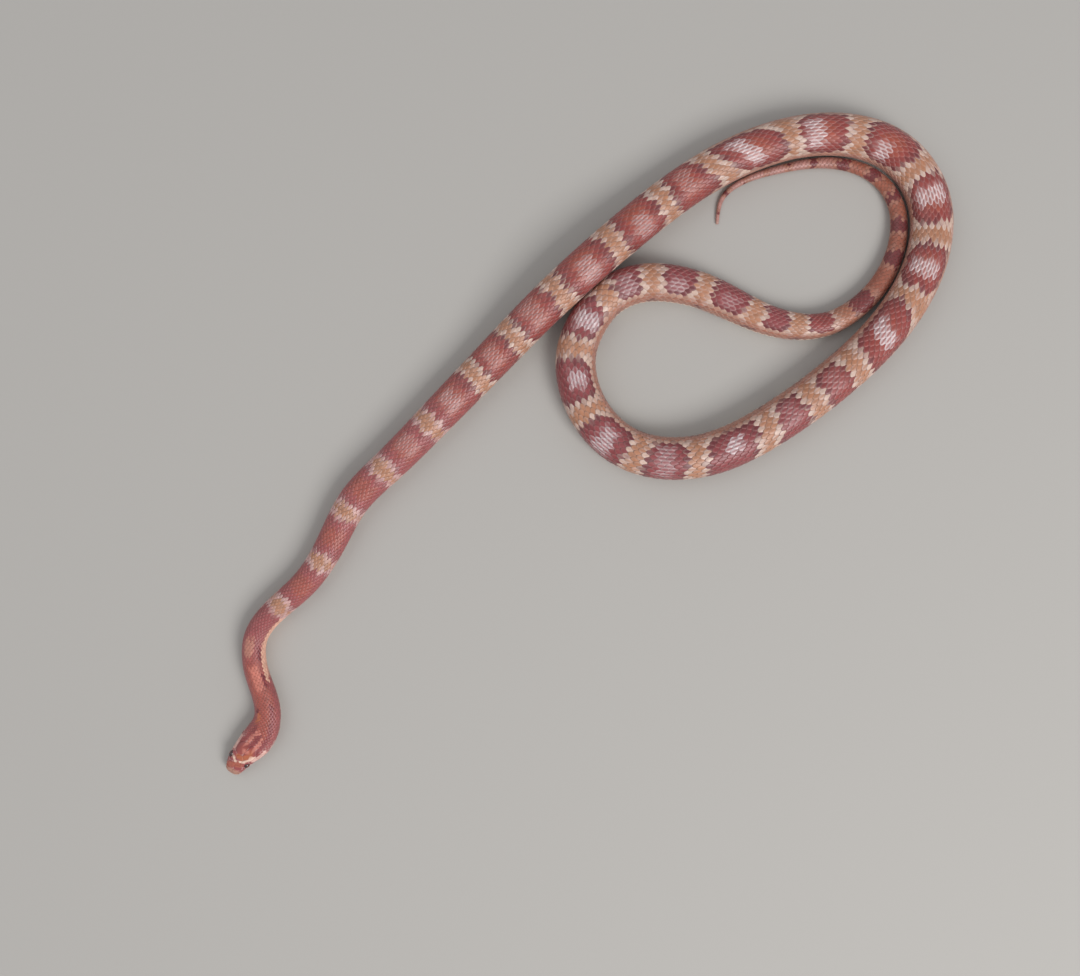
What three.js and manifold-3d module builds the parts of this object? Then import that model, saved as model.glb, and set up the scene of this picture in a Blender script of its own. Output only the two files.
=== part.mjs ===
// A corn snake at life size, lying still on a floor. Millimetres, +Z up, floor at z = 0.
// The body is one long tapering form laid along a hand-placed route from snout to tail tip.
// It is parted by thin cuts into the head, the lower jaw, the neck, lengths of trunk and lengths of tail.
// A place on the skin is given by two numbers: the station, which is the distance along the route
// from the snout, and the share of the girth counted from the middle of the back.
import * as THREE from "three";
import { mergeVertices } from "three/addons/utils/BufferGeometryUtils.js";
import Module from "manifold-3d";

const wasm = await Module();
wasm.setup();

// Clearance between neighbouring pieces
const GAP = 0.3;

// The route of the body over the floor, seen from above, from the snout to the tip of the tail
const ROUTE_POINTS = [
  [-199, -183.5], [-193, -174.5], [-185.5, -166.5], [-181, -160], [-178.5, -152.5], [-179, -144.5],
  [-184.5, -127.5], [-186, -118], [-185, -108.5], [-175.5, -94.5], [-158.5, -79], [-143, -56],
  [-130.3, -32.8], [-111.5, -13.5], [-88.5, 9.5], [-55.5, 43.5], [-22.5, 76.5], [14.8, 110.2],
  [54, 141.5], [94.5, 162.5], [133, 169.5], [169, 159], [186.7, 132.9], [185.2, 100.3],
  [168.8, 68.7], [139.2, 38], [101.2, 10.1], [59.3, -8], [17.2, -1.4], [2.3, 12.9], [-5.8, 30],
  [-7.4, 48.3], [-0.9, 66.3], [11.5, 80.8], [27.6, 87.4], [45.4, 87.4], [62.7, 83.2],
  [99.6, 67.2], [133.2, 65.9], [147.9, 74], [159.7, 85.8], [171.9, 116.4], [170.8, 130.5],
  [164.7, 142.1], [155.4, 149.8], [131, 155.6], [103, 151.4], [80.9, 142.8],
  [74.6, 136.8], [71.4, 122.1],
];

// How finely the route's length is measured
const ROUTE_DIVISIONS = 4000;

// Shift of the whole route that puts the origin under the middle of the snake's box
const ROUTE_SHIFT = [1.21, 1.97];

// Full width of the body by station
const WIDTH_AT = [
  [0, 4.4], [0.7, 6.9], [1.8, 8.6], [4, 10.2], [7, 11.9], [9.6, 12.9], [13, 14.2], [17, 15.9],
  [21, 17.3], [24.5, 17.9], [28, 17.4], [33, 16.0], [38, 14.8], [46, 14.0], [62, 13.4], [78, 13.3],
  [115, 14.7], [164, 17.2], [217, 19.4], [307, 21.7], [405, 22.9], [620, 23.0], [700, 23.6],
  [780, 24.1], [837, 23.6], [878, 22.8], [954, 21.2], [990, 19.6], [1029, 16.3], [1060, 13.2],
  [1114, 10.3], [1144, 9.1], [1184, 6.8], [1212, 5.0], [1258, 2.5], [1276, 1.0],
];

// Height of the crest of the back over the level of the belly, by station
const CREST_AT = [
  [0, 4.7], [0.7, 5.5], [1.8, 6.2], [4, 7.1], [7, 8.1], [9.6, 8.8], [13, 9.5], [17, 10.2],
  [24.5, 10.9], [33, 11.4], [46, 11.8], [78, 11.5], [115, 12.6], [164, 14.7], [217, 16.4],
  [307, 18.3], [405, 19.4], [780, 19.7], [878, 18.4], [954, 17.2], [1029, 13.1], [1060, 11.2],
  [1114, 9.0], [1184, 5.8], [1212, 4.4], [1258, 2.3], [1276, 1.0],
];

// Height of the chin and belly over the floor: the snout slopes up in front, the rest lies flat
const CHIN_AT = [[0, 3.0], [0.9, 2.7], [1.4, 1.7], [2.6, 0.9], [5, 0.2], [7, 0], [1276, 0]];

// How square the upper half of the section is: 2 is a plain ellipse
const SQUARENESS_AT = [[0, 2.3], [5, 2.5], [12, 2.6], [22, 2.35], [38, 2.1], [60, 2.05], [1276, 2.0]];

// Height of the widest level, as a share of the height of the section
const WIDEST = 0.44;

// Share of the half width that lies flat underneath, and how square the corners beside it are
const FLAT = 0.55;
const LOWER_SQUARENESS = 2.1;

// Turn of the back toward the left of the head-to-tail direction, in degrees, by station
const ROLL_AT = [[0, 0], [640, 0], [720, 22], [800, 26], [1040, 26], [1110, 12], [1276, 8]];

// The front length rises in a long low hump where it passes over the loop behind it
const HUMP_STATION = 352;
const HUMP_HALF_LENGTH = 82;
const HUMP_HEIGHT = 6;

// The plane on which the two lengths press each other flat where they cross
const CROSSING_POINT = [2.52, 85.94, 12.5];
const CROSSING_DIRECTION = [0.735, 0.679];
const CROSSING_LEAN = 25;
const CROSSING_OVER = [300, 410];
const CROSSING_UNDER = [890, 975];
const CROSSING_FLAT = 9;
const CROSSING_FADE = 30;

// Belly scutes, coarser and fewer than the real ones
const SCUTE_RISE = 0.5;
const SCUTE_RISE_PER_WIDTH = 0.045;
const SCUTE_LENGTH_PER_WIDTH = 0.52;
const SCUTE_SHORTEST = 5.0;
const SCUTE_SHOULDER = 0.5;
const SCUTE_STEP = 0.4;
const SCUTE_EDGE = 0.332;

// The flanks sink a little toward the edge of the scutes: how far, as a share of the scutes' rise,
// and between which shares of the girth
const FLANK_SINK = 0.8;
const FLANK_SINK_FROM = 0.2;
const FLANK_SINK_TO = 0.32;

// Where the columns of faces run, as shares of the girth from the middle of the back
const TRUNK_COLUMNS = [0, 0.075, 0.15, 0.22, 0.285, 0.325, 0.34, 0.425, 0.5];
const TAIL_COLUMNS = [0, 0.12, 0.23, 0.325, 0.345, 0.43, 0.5];
const HEAD_COLUMNS = [0, 0.05, 0.1, 0.145, 0.19, 0.23, 0.265, 0.3, 0.34, 0.39, 0.445, 0.5];

// Stations where the lengths are parted
const NECK_START = 33;
const VENT = 1036;
const CUTS = [
  ["neck", 112], ["trunk_1", 190], ["trunk_2", 272], ["trunk_3", 352], ["trunk_4", 430],
  ["trunk_5", 505], ["trunk_6", 575], ["trunk_7", 650], ["trunk_8", 745], ["trunk_9", 812],
  ["trunk_10", 872], ["trunk_11", 935], ["trunk_12", 985], ["trunk_13", VENT], ["tail_1", 1085],
  ["tail_2", 1130], ["tail_3", 1180], ["tail_4", 1228], ["tail_tip", 1276],
];

// Head: stations and heights of its features
const HEAD_RINGS = [
  0, 0.35, 0.9, 1.5, 2.6, 4, 6, 8, 10, 12, 14, 16.5, 19, 21.5, 24, 26.5, 29, NECK_START - GAP / 2,
];
const MOUTH_LINE = [
  [-1, 2.2], [1, 2.45], [5, 2.9], [9.6, 3.1], [14, 3.25], [18, 3.6], [22, 4.4], [24.6, 5.1],
];
const MOUTH_GAP = 0.32;
const MOUTH_BACK = [[25.2, 3.0], [26.2, 0.2], [26.8, -1.5]];
const MOUTH_REACH = 13;
const EYE_STATION = 9.6;
const EYE_HEIGHT = 6.2;
const EYE_RADIUS = 2.05;
const EYE_DEPTH = 1.5;
const EYE_INSET = 0.8;
const EYE_SEGMENTS = 16;
const EYE_MARGIN = 0.9;
const NOSTRIL_STATION = 1.9;
const NOSTRIL_HEIGHT = 4.5;
const NOSTRIL_RADIUS = 0.5;
const NOSTRIL_DEPTH = 0.7;
const NOSTRIL_SEGMENTS = 8;
const SHIELD_RISE = 0.28;
const SHIELD_CROWN = 0.08;
const SHIELD_MARGIN = 0.94;
const SHIELD_ROOT = 0.9;

// Colours
const RED = 0xa4584c;
const ORANGE = 0xc4855c;
const PALE = 0xd9b79d;
const EYE_COLOUR = 0x3c1416;
const SKIN_ROUGHNESS = 0.45;
const EYE_ROUGHNESS = 0.08;

// A value read from a table of [station, value] rows, on a smooth curve that never overshoots
function along(table, station) {
  const last = table.length - 1;
  if (station <= table[0][0]) return table[0][1];
  if (station >= table[last][0]) return table[last][1];
  const slope = (i) => (table[i + 1][1] - table[i][1]) / (table[i + 1][0] - table[i][0]);
  const tangent = (i) => {
    if (i === 0) return slope(0);
    if (i === last) return slope(last - 1);
    const [before, after] = [slope(i - 1), slope(i)];
    return before * after <= 0 ? 0 : (2 * before * after) / (before + after);
  };
  const i = table.findIndex((row) => row[0] > station) - 1;
  const span = table[i + 1][0] - table[i][0];
  const u = (station - table[i][0]) / span;
  const startWeight = (1 + 2 * u) * (1 - u) * (1 - u);
  const endWeight = u * u * (3 - 2 * u);
  const bend = tangent(i) * u * (1 - u) * (1 - u) - tangent(i + 1) * u * u * (1 - u);
  return table[i][1] * startWeight + table[i + 1][1] * endWeight + span * bend;
}

// A natural cubic spline through the route's points, with bends that change smoothly
class Route extends THREE.Curve {
  constructor(points) {
    super();
    this.points = points;
    this.arcLengthDivisions = ROUTE_DIVISIONS;
    this.knots = [0];
    for (let i = 1; i < points.length; i += 1) {
      const chord = Math.hypot(points[i][0] - points[i - 1][0], points[i][1] - points[i - 1][1]);
      this.knots.push(this.knots[i - 1] + chord);
    }
    this.bends = [this.solveBends(0), this.solveBends(1)];
  }

  // Second derivatives at the knots, by elimination down the band and back
  solveBends(axis) {
    const count = this.points.length;
    const value = (i) => this.points[i][axis];
    const step = (i) => this.knots[i + 1] - this.knots[i];
    const ratio = new Array(count).fill(0);
    const target = new Array(count).fill(0);
    for (let i = 1; i < count - 1; i += 1) {
      const change = (value(i + 1) - value(i)) / step(i) - (value(i) - value(i - 1)) / step(i - 1);
      const pivot = 2 * (step(i - 1) + step(i)) - step(i - 1) * ratio[i - 1];
      ratio[i] = step(i) / pivot;
      target[i] = (6 * change - step(i - 1) * target[i - 1]) / pivot;
    }
    const bends = new Array(count).fill(0);
    for (let i = count - 2; i > 0; i -= 1) {
      bends[i] = target[i] - ratio[i] * bends[i + 1];
    }
    return bends;
  }

  getPoint(t, target = new THREE.Vector3()) {
    const last = this.knots.length - 1;
    const distance = t * this.knots[last];
    let i = this.knots.findIndex((knot) => knot > distance) - 1;
    if (i < 0) i = last - 1;
    const step = this.knots[i + 1] - this.knots[i];
    const far = (distance - this.knots[i]) / step;
    const near = 1 - far;
    const coordinate = (axis) => {
      const straight = near * this.points[i][axis] + far * this.points[i + 1][axis];
      const [start, end] = [this.bends[axis][i], this.bends[axis][i + 1]];
      return straight + ((near ** 3 - near) * start + (far ** 3 - far) * end) * step * step / 6;
    };
    return target.set(coordinate(0), coordinate(1), 0);
  }
}

const route = new Route(ROUTE_POINTS.map(([x, y]) => [x + ROUTE_SHIFT[0], y + ROUTE_SHIFT[1]]));
const LENGTH = route.getLength();

// Height of the belly over the floor where the front length passes over the loop
function liftAt(station) {
  const offset = (station - HUMP_STATION) / HUMP_HALF_LENGTH;
  return Math.abs(offset) < 1 ? HUMP_HEIGHT * Math.cos(offset * Math.PI / 2) ** 2 : 0;
}

// Centre of the belly and the three directions there: along the body, across to the left, and up
function frameAt(station) {
  const share = THREE.MathUtils.clamp(station / LENGTH, 0, 1);
  const centre = route.getPointAt(share);
  const forward = route.getTangentAt(share);
  centre.addScaledVector(forward, station - share * LENGTH);
  centre.z = liftAt(station);
  forward.z = (liftAt(station + 0.5) - liftAt(station - 0.5));
  forward.normalize();
  const across = new THREE.Vector3(-forward.y, forward.x, 0).normalize();
  const up = new THREE.Vector3().crossVectors(forward, across);
  return { centre, forward, across, up };
}

// Half of the section's outline, from the middle of the back to the middle of the belly
const outlines = new Map();
function halfOutline(station) {
  if (outlines.has(station)) return outlines.get(station);
  const half = along(WIDTH_AT, station) / 2;
  const top = along(CREST_AT, station);
  const bottom = along(CHIN_AT, station);
  const flat = FLAT * half;
  const widest = bottom + WIDEST * (top - bottom);
  const upperPower = 2 / along(SQUARENESS_AT, station);
  const lowerPower = 2 / LOWER_SQUARENESS;
  const STEPS = 24;
  const points = [];
  for (let i = 0; i <= STEPS; i += 1) {
    const angle = Math.PI / 2 * (1 - i / STEPS);
    points.push([half * Math.max(Math.cos(angle), 0) ** upperPower,
      widest + (top - widest) * Math.sin(angle) ** upperPower]);
  }
  for (let i = 1; i <= STEPS; i += 1) {
    const angle = Math.PI / 2 * i / STEPS;
    points.push([flat + (half - flat) * Math.max(Math.cos(angle), 0) ** lowerPower,
      widest - (widest - bottom) * Math.sin(angle) ** lowerPower]);
  }
  points.push([0, bottom]);
  const lengths = [0];
  for (let i = 1; i < points.length; i += 1) {
    const run = [points[i][0] - points[i - 1][0], points[i][1] - points[i - 1][1]];
    lengths.push(lengths[i - 1] + Math.hypot(run[0], run[1]));
  }
  const outline = { points, lengths };
  outlines.set(station, outline);
  return outline;
}

// Across and up at a share of the girth, before any turn of the body
function outlinePoint(station, share) {
  const { points, lengths } = halfOutline(station);
  const wrapped = share - Math.round(share);
  const distance = Math.min(Math.abs(wrapped) * 2, 1) * lengths[lengths.length - 1];
  let i = lengths.findIndex((length) => length >= distance) - 1;
  if (i < 0) i = 0;
  const u = (distance - lengths[i]) / Math.max(lengths[i + 1] - lengths[i], 1e-9);
  const acrossHalf = points[i][0] + (points[i + 1][0] - points[i][0]) * u;
  const up = points[i][1] + (points[i + 1][1] - points[i][1]) * u;
  return [wrapped < 0 ? -acrossHalf : acrossHalf, up];
}

// A point of the skin, sunk inwards by a depth
function skinPoint(station, share, sunk = 0) {
  const turned = share + along(ROLL_AT, station) / 360;
  const REACH = 0.01;
  const here = outlinePoint(station, turned);
  const before = outlinePoint(station, turned - REACH);
  const after = outlinePoint(station, turned + REACH);
  const run = [after[0] - before[0], after[1] - before[1]];
  const size = Math.hypot(run[0], run[1]) || 1;
  const outward = [-run[1] / size, run[0] / size];
  const { centre, across, up } = frameAt(station);
  return centre.clone()
    .addScaledVector(across, here[0] - outward[0] * sunk)
    .addScaledVector(up, here[1] - outward[1] * sunk);
}

// Share of the girth at which the side of the section stands at a height
const HIGHEST_ON_SIDE = 0.02;
const LOWEST_ON_SIDE = 0.46;
function shareAtHeight(station, height) {
  const HALVINGS = 24;
  let [high, low] = [HIGHEST_ON_SIDE, LOWEST_ON_SIDE];
  for (let i = 0; i < HALVINGS; i += 1) {
    const middle = (high + low) / 2;
    if (outlinePoint(station, middle)[1] > height) high = middle;
    else low = middle;
  }
  return (high + low) / 2;
}

// The plane between the two crossing lengths
const lean = THREE.MathUtils.degToRad(CROSSING_LEAN);
const crossingNormal = new THREE.Vector3(
  -CROSSING_DIRECTION[1] * Math.cos(lean),
  CROSSING_DIRECTION[0] * Math.cos(lean),
  Math.sin(lean),
).normalize();
const crossingPoint = new THREE.Vector3(...CROSSING_POINT);

// Flattens what would press into the other length at the crossing, less and less on each side of it
function pressed(point, station) {
  const away = point.clone().sub(crossingPoint);
  const side = away.dot(crossingNormal);
  const distance = Math.abs(away.x * CROSSING_DIRECTION[0] + away.y * CROSSING_DIRECTION[1]);
  const share = 1 - THREE.MathUtils.smoothstep(distance, CROSSING_FLAT, CROSSING_FADE);
  const within = ([from, to]) => station > from && station < to;
  let push = 0;
  if (within(CROSSING_OVER)) push = Math.max(GAP / 2 - side, 0);
  if (within(CROSSING_UNDER)) push = Math.min(-GAP / 2 - side, 0);
  return point.addScaledVector(crossingNormal, push * share);
}

// All columns round the girth, from the middle of the back to the left, under the belly and up the right
function roundTheGirth(columns) {
  const inner = columns.slice(1, -1);
  return [...columns, ...inner.map((share) => -share).reverse()];
}

// A closed body through rings of points, with a flat cap at each end
function closedSweep(rings) {
  const count = rings[0].length;
  const positions = [];
  const index = [];
  for (const point of rings.flat()) positions.push(point.x, point.y, point.z);
  for (let r = 0; r + 1 < rings.length; r += 1) {
    for (let c = 0; c < count; c += 1) {
      const next = (c + 1) % count;
      const [a, b] = [r * count + c, r * count + next];
      index.push(a, a + count, b, b, a + count, b + count);
    }
  }
  const cap = (ring, offset, flipped) => {
    const middle = ring.reduce((sum, point) => sum.add(point), new THREE.Vector3()).divideScalar(count);
    const centre = positions.length / 3;
    positions.push(middle.x, middle.y, middle.z);
    for (let c = 0; c < count; c += 1) {
      const edge = [offset + c, offset + (c + 1) % count];
      if (flipped) edge.reverse();
      index.push(centre, edge[0], edge[1]);
    }
  };
  cap(rings[0], 0, false);
  cap(rings[rings.length - 1], (rings.length - 1) * count, true);
  return faced(positions, index);
}

// A geometry from plain positions and faces, turned so that its faces point outward
function faced(positions, index) {
  let volume = 0;
  const corner = (i) => new THREE.Vector3().fromArray(positions, 3 * i);
  for (let i = 0; i < index.length; i += 3) {
    volume += corner(index[i]).dot(corner(index[i + 1]).cross(corner(index[i + 2])));
  }
  if (volume < 0) index.reverse();
  const geometry = new THREE.BufferGeometry();
  geometry.setAttribute("position", new THREE.BufferAttribute(new Float32Array(positions), 3));
  geometry.setIndex(index);
  return geometry;
}

// Belly scutes along a stretch: the station where each one starts
function scuteStations() {
  const stations = [NECK_START];
  while (stations[stations.length - 1] < LENGTH - SCUTE_SHORTEST) {
    const here = stations[stations.length - 1];
    stations.push(here + Math.max(SCUTE_LENGTH_PER_WIDTH * along(WIDTH_AT, here), SCUTE_SHORTEST));
  }
  stations[stations.length - 1] = LENGTH;
  return stations;
}

// One ring of a length of body. Belly scutes stand proud of it, except at their sunken front edge.
function bodyRing(station, columns, scuteSunk) {
  const rise = Math.min(SCUTE_RISE, SCUTE_RISE_PER_WIDTH * along(WIDTH_AT, station));
  return roundTheGirth(columns).map((share) => {
    const onScute = Math.abs(share) > SCUTE_EDGE;
    const flank = THREE.MathUtils.smoothstep(Math.abs(share), FLANK_SINK_FROM, FLANK_SINK_TO);
    const scuteDepth = scuteSunk ? rise : 0;
    const sunk = onScute ? scuteDepth : FLANK_SINK * rise * flank;
    return pressed(skinPoint(station, share, sunk), station);
  });
}

// A length of trunk or tail between two of the belly scutes' edges
function bodyLength(scutes, columns, isLast) {
  const rings = [];
  for (let i = 0; i + 1 < scutes.length; i += 1) {
    const length = scutes[i + 1] - scutes[i];
    const start = i === 0 ? scutes[i] + GAP / 2 : scutes[i];
    const cut = isLast ? 0 : GAP / 2;
    const end = scutes[i + 1] - (i + 2 === scutes.length ? cut : SCUTE_STEP);
    rings.push(bodyRing(start, columns, true));
    rings.push(bodyRing(scutes[i] + SCUTE_SHOULDER * length, columns, false));
    rings.push(bodyRing(end, columns, false));
  }
  return closedSweep(rings);
}

// A plate of the head: a piece of the head's own surface, raised, with its root sunk well in
function headPlate(corners, midpoints = true) {
  const total = corners.reduce((sum, corner) => [sum[0] + corner[0], sum[1] + corner[1]], [0, 0]);
  const centre = total.map((value) => value / corners.length);
  const shrink = (corner) => corner.map((value, axis) => (
    centre[axis] + (value - centre[axis]) * SHIELD_MARGIN));
  const outline = [];
  corners.forEach((corner, i) => {
    const next = corners[(i + 1) % corners.length];
    outline.push(shrink(corner));
    if (midpoints) outline.push(shrink([(corner[0] + next[0]) / 2, (corner[1] + next[1]) / 2]));
  });
  const positions = [];
  const add = ([station, share], sunk) => positions.push(...skinPoint(station, share, sunk).toArray());
  for (const place of outline) add(place, -SHIELD_RISE);
  for (const place of outline) add(place, SHIELD_ROOT);
  add(centre, -SHIELD_RISE - SHIELD_CROWN);
  add(centre, SHIELD_ROOT);
  const count = outline.length;
  const index = [];
  for (let i = 0; i < count; i += 1) {
    const next = (i + 1) % count;
    index.push(2 * count, i, next, 2 * count + 1, count + next, count + i);
    index.push(i, count + i, next, next, count + i, count + next);
  }
  return faced(positions, index);
}

// Corners of the plates on one side of the crown, as [station, share of the girth]
const MIDLINE = 0.003;
const CROWN_PAIRS = {
  internasal: [[1.25, MIDLINE], [1.3, 0.09], [2.3, 0.135], [3.3, 0.1], [3.35, MIDLINE]],
  prefrontal: [[3.5, MIDLINE], [3.5, 0.1], [4.7, 0.15], [6.7, 0.13], [6.9, 0.068], [6.5, MIDLINE]],
  supraocular: [[7.1, 0.073], [7.0, 0.135], [8.6, 0.16], [11.2, 0.162], [12.6, 0.12], [11.5, 0.062]],
  parietal: [
    [13.4, MIDLINE], [11.9, 0.055], [12.9, 0.12], [15, 0.145], [18.5, 0.12], [21.6, 0.05],
    [21.4, MIDLINE],
  ],
};
const FRONTAL = [
  [6.7, 0], [7.1, 0.062], [9.2, 0.05], [11.6, 0.05], [13.2, 0], [11.6, -0.05], [9.2, -0.05],
  [7.1, -0.062],
];

// Plates along the lips: a row of small shields over and under the line of the mouth
const UPPER_LIP = { count: 6, from: 2.0, to: 23.6, near: 0.3, far: 2.0, underEye: 1.05 };
const LOWER_LIP = { count: 4, from: 2.6, to: 22.5, near: -0.3, far: -1.5, underEye: -1.5 };

function lipPlates(row) {
  const step = (row.to - row.from) / row.count;
  const plates = [];
  for (let i = 0; i < row.count; i += 1) {
    const start = row.from + i * step;
    const end = start + step;
    const far = (station) => {
      const besideEye = Math.abs(station - EYE_STATION) < EYE_RADIUS + EYE_MARGIN;
      return besideEye ? row.underEye : row.far;
    };
    const places = [[start, row.near], [end, row.near], [end, far(end)], [start, far(start)]];
    const corners = places.map(([station, rise]) => (
      [station, shareAtHeight(station, along(MOUTH_LINE, station) + rise)]));
    plates.push(headPlate(corners, false));
    plates.push(headPlate(corners.map(([station, share]) => [station, -share]), false));
  }
  return plates;
}

function crownPlates() {
  const plates = [headPlate(FRONTAL)];
  for (const corners of Object.values(CROWN_PAIRS)) {
    plates.push(headPlate(corners));
    plates.push(headPlate(corners.map(([station, share]) => [station, -share])));
  }
  return plates;
}

// An ellipsoid set at a place beside the head's middle line, long axes along and up
function ovalBall(station, side, height, offset, radius, depth, segments) {
  const { centre, forward, across, up } = frameAt(station);
  const ball = new THREE.SphereGeometry(1, segments, segments / 2);
  ball.scale(radius, depth, radius);
  ball.applyMatrix4(new THREE.Matrix4().makeBasis(forward, across, up));
  const middle = centre.addScaledVector(across, side * offset).addScaledVector(up, height);
  ball.translate(middle.x, middle.y, middle.z);
  return ball;
}

// Half width of the head at a station and height
function sideReach(station, height) {
  return outlinePoint(station, shareAtHeight(station, height))[0];
}

function eyeBall(side, margin) {
  const offset = sideReach(EYE_STATION, EYE_HEIGHT) - EYE_INSET;
  const [radius, depth] = [EYE_RADIUS + margin, EYE_DEPTH + margin];
  return ovalBall(EYE_STATION, side, EYE_HEIGHT, offset, radius, depth, EYE_SEGMENTS);
}

function nostril(side) {
  const offset = sideReach(NOSTRIL_STATION, NOSTRIL_HEIGHT);
  const sizes = [NOSTRIL_RADIUS, NOSTRIL_DEPTH, NOSTRIL_SEGMENTS];
  return ovalBall(NOSTRIL_STATION, side, NOSTRIL_HEIGHT, offset, ...sizes);
}

// The thin cut along the lips and down behind the corner of the mouth
function mouthCut() {
  const line = [...MOUTH_LINE, ...MOUTH_BACK];
  const rings = line.map(([station, height], i) => {
    const before = line[Math.max(i - 1, 0)];
    const after = line[Math.min(i + 1, line.length - 1)];
    const run = [after[0] - before[0], after[1] - before[1]];
    const size = Math.hypot(run[0], run[1]);
    const offset = [-run[1] / size * MOUTH_GAP / 2, run[0] / size * MOUTH_GAP / 2];
    const place = (direction, reach) => {
      const { centre, across, up } = frameAt(station + direction * offset[0]);
      return centre.addScaledVector(across, reach).addScaledVector(up, height + direction * offset[1]);
    };
    return [place(1, -MOUTH_REACH), place(1, MOUTH_REACH), place(-1, MOUTH_REACH), place(-1, -MOUTH_REACH)];
  });
  return closedSweep(rings);
}

// Between three.js geometries and solids that can be joined and cut
function toSolid(geometry) {
  const plain = geometry.clone();
  plain.deleteAttribute("normal");
  plain.deleteAttribute("uv");
  const WELD = 1e-4;
  const merged = mergeVertices(plain, WELD);
  return new wasm.Manifold(new wasm.Mesh({
    numProp: 3,
    vertProperties: merged.attributes.position.array,
    triVerts: new Uint32Array(merged.index.array),
  }));
}

function toGeometry(solid) {
  const mesh = solid.getMesh();
  const geometry = new THREE.BufferGeometry();
  geometry.setAttribute("position", new THREE.BufferAttribute(new Float32Array(mesh.vertProperties), 3));
  geometry.setIndex([...mesh.triVerts]);
  return geometry;
}

// The head whole with its plates, then opened at the eyes and nostrils and parted at the mouth
function headAndJaw() {
  const columns = roundTheGirth(HEAD_COLUMNS);
  const rings = HEAD_RINGS.map((station) => columns.map((share) => skinPoint(station, share)));
  let whole = toSolid(closedSweep(rings));
  for (const plate of [...crownPlates(), ...lipPlates(UPPER_LIP), ...lipPlates(LOWER_LIP)]) {
    whole = whole.add(toSolid(plate));
  }
  for (const side of [1, -1]) {
    whole = whole.subtract(toSolid(eyeBall(side, GAP)));
    whole = whole.subtract(toSolid(nostril(side)));
  }
  const pieces = whole.subtract(toSolid(mouthCut())).decompose();
  pieces.sort((a, b) => b.volume() - a.volume());
  return pieces.slice(0, 2).map(toGeometry);
}

function named(name, geometry, color, roughness) {
  const mesh = new THREE.Mesh(geometry, new THREE.MeshStandardMaterial({ color, roughness, metalness: 0 }));
  mesh.name = name;
  return mesh;
}

const snake = new THREE.Group();
const [headGeometry, jawGeometry] = headAndJaw();
snake.add(named("head", headGeometry, RED, SKIN_ROUGHNESS));
snake.add(named("lower_jaw", jawGeometry, PALE, SKIN_ROUGHNESS));
snake.add(named("eye_right", eyeBall(1, 0), EYE_COLOUR, EYE_ROUGHNESS));
snake.add(named("eye_left", eyeBall(-1, 0), EYE_COLOUR, EYE_ROUGHNESS));

const scutes = scuteStations();
const nearestScute = (station) => scutes.reduce((best, scute, i) => (
  Math.abs(scute - station) < Math.abs(scutes[best] - station) ? i : best), 0);
let first = 0;
for (const [name, station] of CUTS) {
  const last = nearestScute(station);
  const columns = station > VENT ? TAIL_COLUMNS : TRUNK_COLUMNS;
  const geometry = bodyLength(scutes.slice(first, last + 1), columns, last === scutes.length - 1);
  snake.add(named(name, geometry, name.startsWith("tail") ? ORANGE : RED, SKIN_ROUGHNESS));
  first = last;
}

export default snake;
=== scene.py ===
"""A corn snake at life size, lying still with its front length over its own loop.

Lengths are millimetres while shapes are worked out, and metres once a mesh is made. A place on the
body is a station, the distance along the route from the snout, and a share of the girth counted
from the middle of the back, positive toward the left of the way from head to tail.
"""
import logging
import math
from dataclasses import dataclass, field
from enum import Enum

import bmesh
import bpy
import numpy as np
from mathutils import Matrix, Vector


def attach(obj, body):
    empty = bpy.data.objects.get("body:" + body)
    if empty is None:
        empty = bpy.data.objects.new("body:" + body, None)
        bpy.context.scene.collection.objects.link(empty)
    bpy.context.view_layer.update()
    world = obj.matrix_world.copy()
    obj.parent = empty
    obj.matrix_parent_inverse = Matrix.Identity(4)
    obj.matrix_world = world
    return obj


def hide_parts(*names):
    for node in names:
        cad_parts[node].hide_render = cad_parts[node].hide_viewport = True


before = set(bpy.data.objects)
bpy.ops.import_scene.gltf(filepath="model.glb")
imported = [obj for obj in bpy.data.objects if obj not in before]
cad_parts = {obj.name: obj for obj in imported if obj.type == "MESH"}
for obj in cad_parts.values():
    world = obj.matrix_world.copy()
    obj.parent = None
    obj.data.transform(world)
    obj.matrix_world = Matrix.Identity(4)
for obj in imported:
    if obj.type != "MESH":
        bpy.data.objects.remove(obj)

Array = np.ndarray
Table = tuple[tuple[float, float], ...]
Colour = tuple[float, float, float]
Node = bpy.types.Node

MILLIMETRE = 0.001
BODY = "root"
FLESH_NODES = (
    "head", "lower_jaw", "neck", *(f"trunk_{i}" for i in range(1, 14)),
    *(f"tail_{i}" for i in range(1, 5)), "tail_tip",
)

log = logging.getLogger("corn_snake")


class Slot(Enum):
    """The record's material slots."""

    SCALED_SKIN = "scaled_skin"
    BELLY_SKIN = "belly_skin"
    EYE = "eye"


class Side(Enum):
    """The snake's two sides; the value is the sign of the share of the girth."""

    RIGHT = 1
    LEFT = -1


class Role(Enum):
    """Where a colour lies; the value is how far it takes the colour of the net between scales."""

    SCALE = 0.0
    EDGE = 0.42
    SKIN = 0.8


def linear(red: float, green: float, blue: float) -> Array:
    """Turn a display colour of 0 to 255 into linear light."""
    shown = np.array([red, green, blue], float) / 255
    return np.where(shown <= 0.04045, shown / 12.92, ((shown + 0.055) / 1.055) ** 2.4)


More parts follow.
